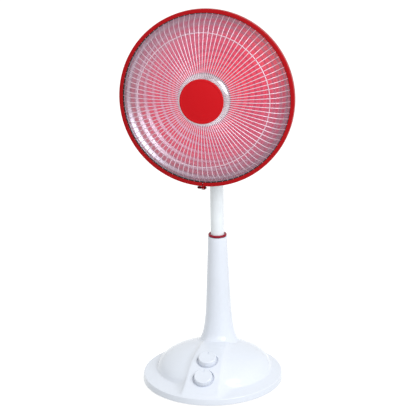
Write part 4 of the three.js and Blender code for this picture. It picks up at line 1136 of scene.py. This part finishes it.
CORE_BOTTOM = 37.3
CORE_TOP = 125.3
CORE_RADIUS = 17.0
CORE_TAPER = 3.5
COIL_TURNS = 9
COIL_END = 125.0
COIL_GAP = 2.5


def coil_path(steps=28):
    """The coil's centre line up the tapered core, straight for a wire's width at both ends."""
    def at(angle, height):
        share = (height - CORE_BOTTOM) / (COIL_END - CORE_BOTTOM)
        return (*polar(CORE_RADIUS - CORE_TAPER * share + COIL_GAP, angle), height)

    low, high = CORE_BOTTOM + 8, COIL_END - 8
    first, last = 0.5, 0.5 + FULL_TURN * COIL_TURNS
    points = [at(angle, CORE_BOTTOM + rise) for angle, rise in ((0, 0.1), (0, 3.6), (0.08, 5.6), (0.25, 7.2))]
    total = COIL_TURNS * steps
    points += [at(first + FULL_TURN * step / steps, low + (high - low) * step / total)
               for step in range(total + 1)]
    points += [at(last + angle, COIL_END - drop)
               for angle, drop in ((0.25, 7.2), (0.42, 5.6), (0.5, 3.6), (0.5, 0.1))]
    return points


def core_line(steps=73):
    """The ceramic core's profile: a tapered stem with a shallow groove for each turn, a collar and a neck."""
    line = [(0, CORE_BOTTOM), (CORE_RADIUS, CORE_BOTTOM)]
    for step in range(1, steps):
        share = step / steps
        groove = 0.5 * math.cos(FULL_TURN * COIL_TURNS * share) - 0.5
        height = CORE_BOTTOM + (CORE_TOP - CORE_BOTTOM) * share
        line.append((CORE_RADIUS - CORE_TAPER * share + groove, height))
    collar = [(13.5, CORE_TOP), (19, CORE_TOP), (19, 129.3), (8, 129.3)]
    return [*line, *collar, (8, 143.9), (0, 143.9)]


def element_cap():
    """A thin spun cap with a shallow pressed ring and a soft shoulder."""
    outside = [(2.3, 145.0), (20, 145.0), (21, 144.4), (24, 144.4), (25, 145.0), (45.0, 145.0), (53.0, 142.9),
               (58.4, 139.4), (61.0, 134.8), (61.0, 133.0)]
    inside = [(60.2, 133.0), (60.2, 134.9), (57.8, 138.8), (52.6, 142.1), (44.8, 144.2), (25.2, 144.2),
              (24.2, 143.6), (20.8, 143.6), (19.8, 144.2), (2.3, 144.2)]
    return spun("spun_cap", rounded(outside, 1.8, 4) + rounded(inside, 1.4, 4), 160, closed=True)


def cap_screw():
    """A pan-head screw with a cross slot."""
    outline = [(0, 133.9), (2, 133.9), (2, 145.3), (5, 145.3), (5, 146.6), (3.4, 147.7), (0, 147.7)]
    screw = spun("cap_fixing", rounded(outline, 0.4, 3), 48)
    return cut(screw, block("slot_x", (-3, -0.45, 146.6), (3, 0.45, 151)),
               block("slot_y", (-0.45, -3, 146.6), (0.45, 3, 151)))


class HEATER_OT_element(bpy.types.Operator):
    """Models the heating element: socket, ceramic core, glowing coil and polished cap"""
    bl_idname = "heater.element"
    bl_label = "Heating element"

    def execute(self, context):
        socket_line = [(0, -6.7), (18, -6.7), (18, 23.3), (22.5, 23.3), (22.5, 37.0), (0, 37.0)]
        socket = lay(spun("lamp_socket", rounded(socket_line, 1.2, 3), 96), HEAD)
        finish(socket, "head", "ceramic", "element_socket")
        finish(lay(spun("ceramic_core", core_line(), 96), HEAD), "head", "ceramic_painted_glow", "element_core")
        coil = lay(swept_wire("glowing_coil", coil_path(), 1.6 * MM, 10), HEAD)
        finish(coil, "head", "hot_wire", "heating_coil", crease=60)
        finish(lay(element_cap(), HEAD), "head", "polished", "element_cap", crease=40)
        finish(lay(cap_screw(), HEAD), "head", "zinc", "cap_screw")
        return {"FINISHED"}


# Inner parts that keep their frame shape

KEPT_NODES = {
    "base_weight": "iron",
    "guide_flange": "zinc",
    "guide_tube": "zinc",
    "pole_bush": "nylon",
    "timer_body": "zinc",
    "power_switch_body": "black_plastic",
    "tip_switch_body": "black_plastic",
    "tip_plunger": "red_plastic",
    "terminal_block": "nylon",
    "pole_stop": "nylon",
    "oscillation_motor": "zinc",
    "crank_disc": "nylon",
    "swing_lever": "zinc",
    "lever_screw": "zinc",
    "thermal_cutout": "black_plastic",
    "hub_screw": "zinc",
}


class HEATER_OT_inner_parts(bpy.types.Operator):
    """Dresses the drive, switches and fixings inside, which keep their frame shape"""
    bl_idname = "heater.inner_parts"
    bl_label = "Inner parts"

    def execute(self, context):
        for node, material in KEPT_NODES.items():
            for slot in nodes[node].material_slots:
                slot.material = MATERIALS[material]
        return {"FINISHED"}


# Stage

def floor_material():
    """A pale floor that shows white to the camera and in mirrors, and still takes shadows."""
    surface = Finish("pale_floor", (0.50, 0.50, 0.50), 0.9, Specular_IOR_Level=0.0)
    surface.set(Roughness=surface.uneven(3, 2, 0.85, 0.95))
    lift = surface.node("Emission", {"Strength": 0.75})["Emission"]
    nothing = surface.node("Emission", {"Strength": 0.0})["Emission"]
    parts = {0: surface.shader.outputs["BSDF"], 1: surface.split_rays(lift, nothing)}
    total = surface.node("AddShader", parts)["Shader"]
    surface.feed(surface.tree.nodes["Material Output"].inputs["Surface"], total)
    return surface.material


def set_surround(strength):
    """A pale surround: white to the camera and in mirrors, gentler as light."""
    world = bpy.data.worlds.new("pale_surround")
    bpy.context.scene.world = world
    sky = Nodes(world)
    light = sky.tree.nodes["Background"]
    light.inputs["Color"].default_value = (0.97, 1.0, 0.985, 1)
    light.inputs["Strength"].default_value = strength
    seen = sky.node("Background", {"Color": (1, 1, 1, 1), "Strength": 1.0})["Background"]
    both = sky.split_rays(seen, light.outputs["Background"])
    sky.feed(sky.tree.nodes["World Output"].inputs["Surface"], both)


def add_lamp(name, place, aim, size, power, colour):
    place, aim = Vector(place), Vector(aim)
    bpy.ops.object.light_add(type="AREA", location=place)
    lamp = named(bpy.context.active_object, name)
    lamp.data.shape = "RECTANGLE"
    lamp.data.size, lamp.data.size_y = size
    lamp.data.energy = power
    lamp.data.color = colour
    lamp.rotation_euler = (aim - place).to_track_quat("-Z", "Y").to_euler()


def add_camera(settings):
    """The camera stands where the photograph was taken from, with the photograph's small roll."""
    bearing = math.radians(12)
    heading = bearing + math.radians(0.0746)
    pitch = math.radians(18.884)
    roll = math.radians(-1.008)
    distance = settings.camera_distance
    place = Vector((distance * math.sin(bearing), -distance * math.cos(bearing), settings.camera_height))
    aim = Matrix.Rotation(heading, 4, "Z") @ Matrix.Rotation(math.pi / 2 - pitch, 4, "X")
    bpy.ops.object.camera_add(location=place)
    camera = bpy.context.active_object
    camera.name = "view_of_the_photograph"
    camera.matrix_world = Matrix.Translation(place) @ aim @ Matrix.Rotation(roll, 4, "Z")
    camera.data.lens = settings.camera_lens
    camera.data.sensor_width = 36
    camera.data.clip_end = 200
    bpy.context.scene.camera = camera


class HEATER_OT_stage(bpy.types.Operator):
    """Sets the pale floor, the soft lamps, the surround and the camera"""
    bl_idname = "heater.stage"
    bl_label = "Stage"

    def execute(self, context):
        settings = context.scene.heater_stage
        bpy.ops.object.select_all(action="DESELECT")
        bpy.ops.mesh.primitive_plane_add(size=settings.floor_size, location=(0, 0, -0.0005))
        floor = named(bpy.context.active_object, "floor")
        bpy.ops.object.transform_apply(location=True, rotation=True, scale=True)
        floor.data.materials.append(floor_material())
        set_surround(settings.sky_strength)
        add_lamp("key_lamp", (1.75, -1.45, 2.0), (0, 0, 0.55), (1.4, 1.6),
                 settings.key_power, (0.95, 0.975, 1.0))
        add_lamp("fill_lamp", (0.9, -2.8, 1.9), (0, 0, 0.5), (1.8, 1.2),
                 settings.fill_power, (0.93, 0.96, 1.0))
        add_camera(settings)
        context.scene.view_settings.view_transform = "Standard"
        return {"FINISHED"}


STEPS = (HEATER_OT_stage, HEATER_OT_base, HEATER_OT_column, HEATER_OT_knobs, HEATER_OT_neck, HEATER_OT_rear,
         HEATER_OT_reflector, HEATER_OT_rim, HEATER_OT_guard, HEATER_OT_element, HEATER_OT_inner_parts)

GROUPS = {
    "heater_body": HeaterBodySettings,
    "heater_head": HeaterHeadSettings,
    "heater_stage": HeaterStageSettings,
}


class HEATER_PT_panel(bpy.types.Panel):
    """Lists the heater's sizes, colours and modelling steps"""
    bl_label = "Radiant heater"
    bl_idname = "HEATER_PT_panel"
    bl_space_type = "VIEW_3D"
    bl_region_type = "UI"
    bl_category = "Heater"

    def draw(self, context):
        for name, group in GROUPS.items():
            box = self.layout.box()
            for key in group.__annotations__:
                box.prop(getattr(context.scene, name), key)
        for step in STEPS:
            self.layout.operator(step.bl_idname)


def register():
    for name, group in GROUPS.items():
        bpy.utils.register_class(group)
        setattr(bpy.types.Scene, name, bpy.props.PointerProperty(type=group))
    for step in STEPS:
        bpy.utils.register_class(step)
    bpy.utils.register_class(HEATER_PT_panel)


def unregister():
    bpy.utils.unregister_class(HEATER_PT_panel)
    for step in reversed(STEPS):
        bpy.utils.unregister_class(step)
    for name, group in GROUPS.items():
        delattr(bpy.types.Scene, name)
        bpy.utils.unregister_class(group)


def main():
    register()
    MATERIALS.update(make_materials(bpy.context))
    bpy.ops.heater.stage()
    bpy.ops.heater.base()
    bpy.ops.heater.column()
    bpy.ops.heater.knobs()
    bpy.ops.heater.neck()
    bpy.ops.heater.rear()
    bpy.ops.heater.reflector()
    bpy.ops.heater.rim()
    bpy.ops.heater.guard()
    bpy.ops.heater.element()
    bpy.ops.heater.inner_parts()


if __name__ == "__main__":
    main()
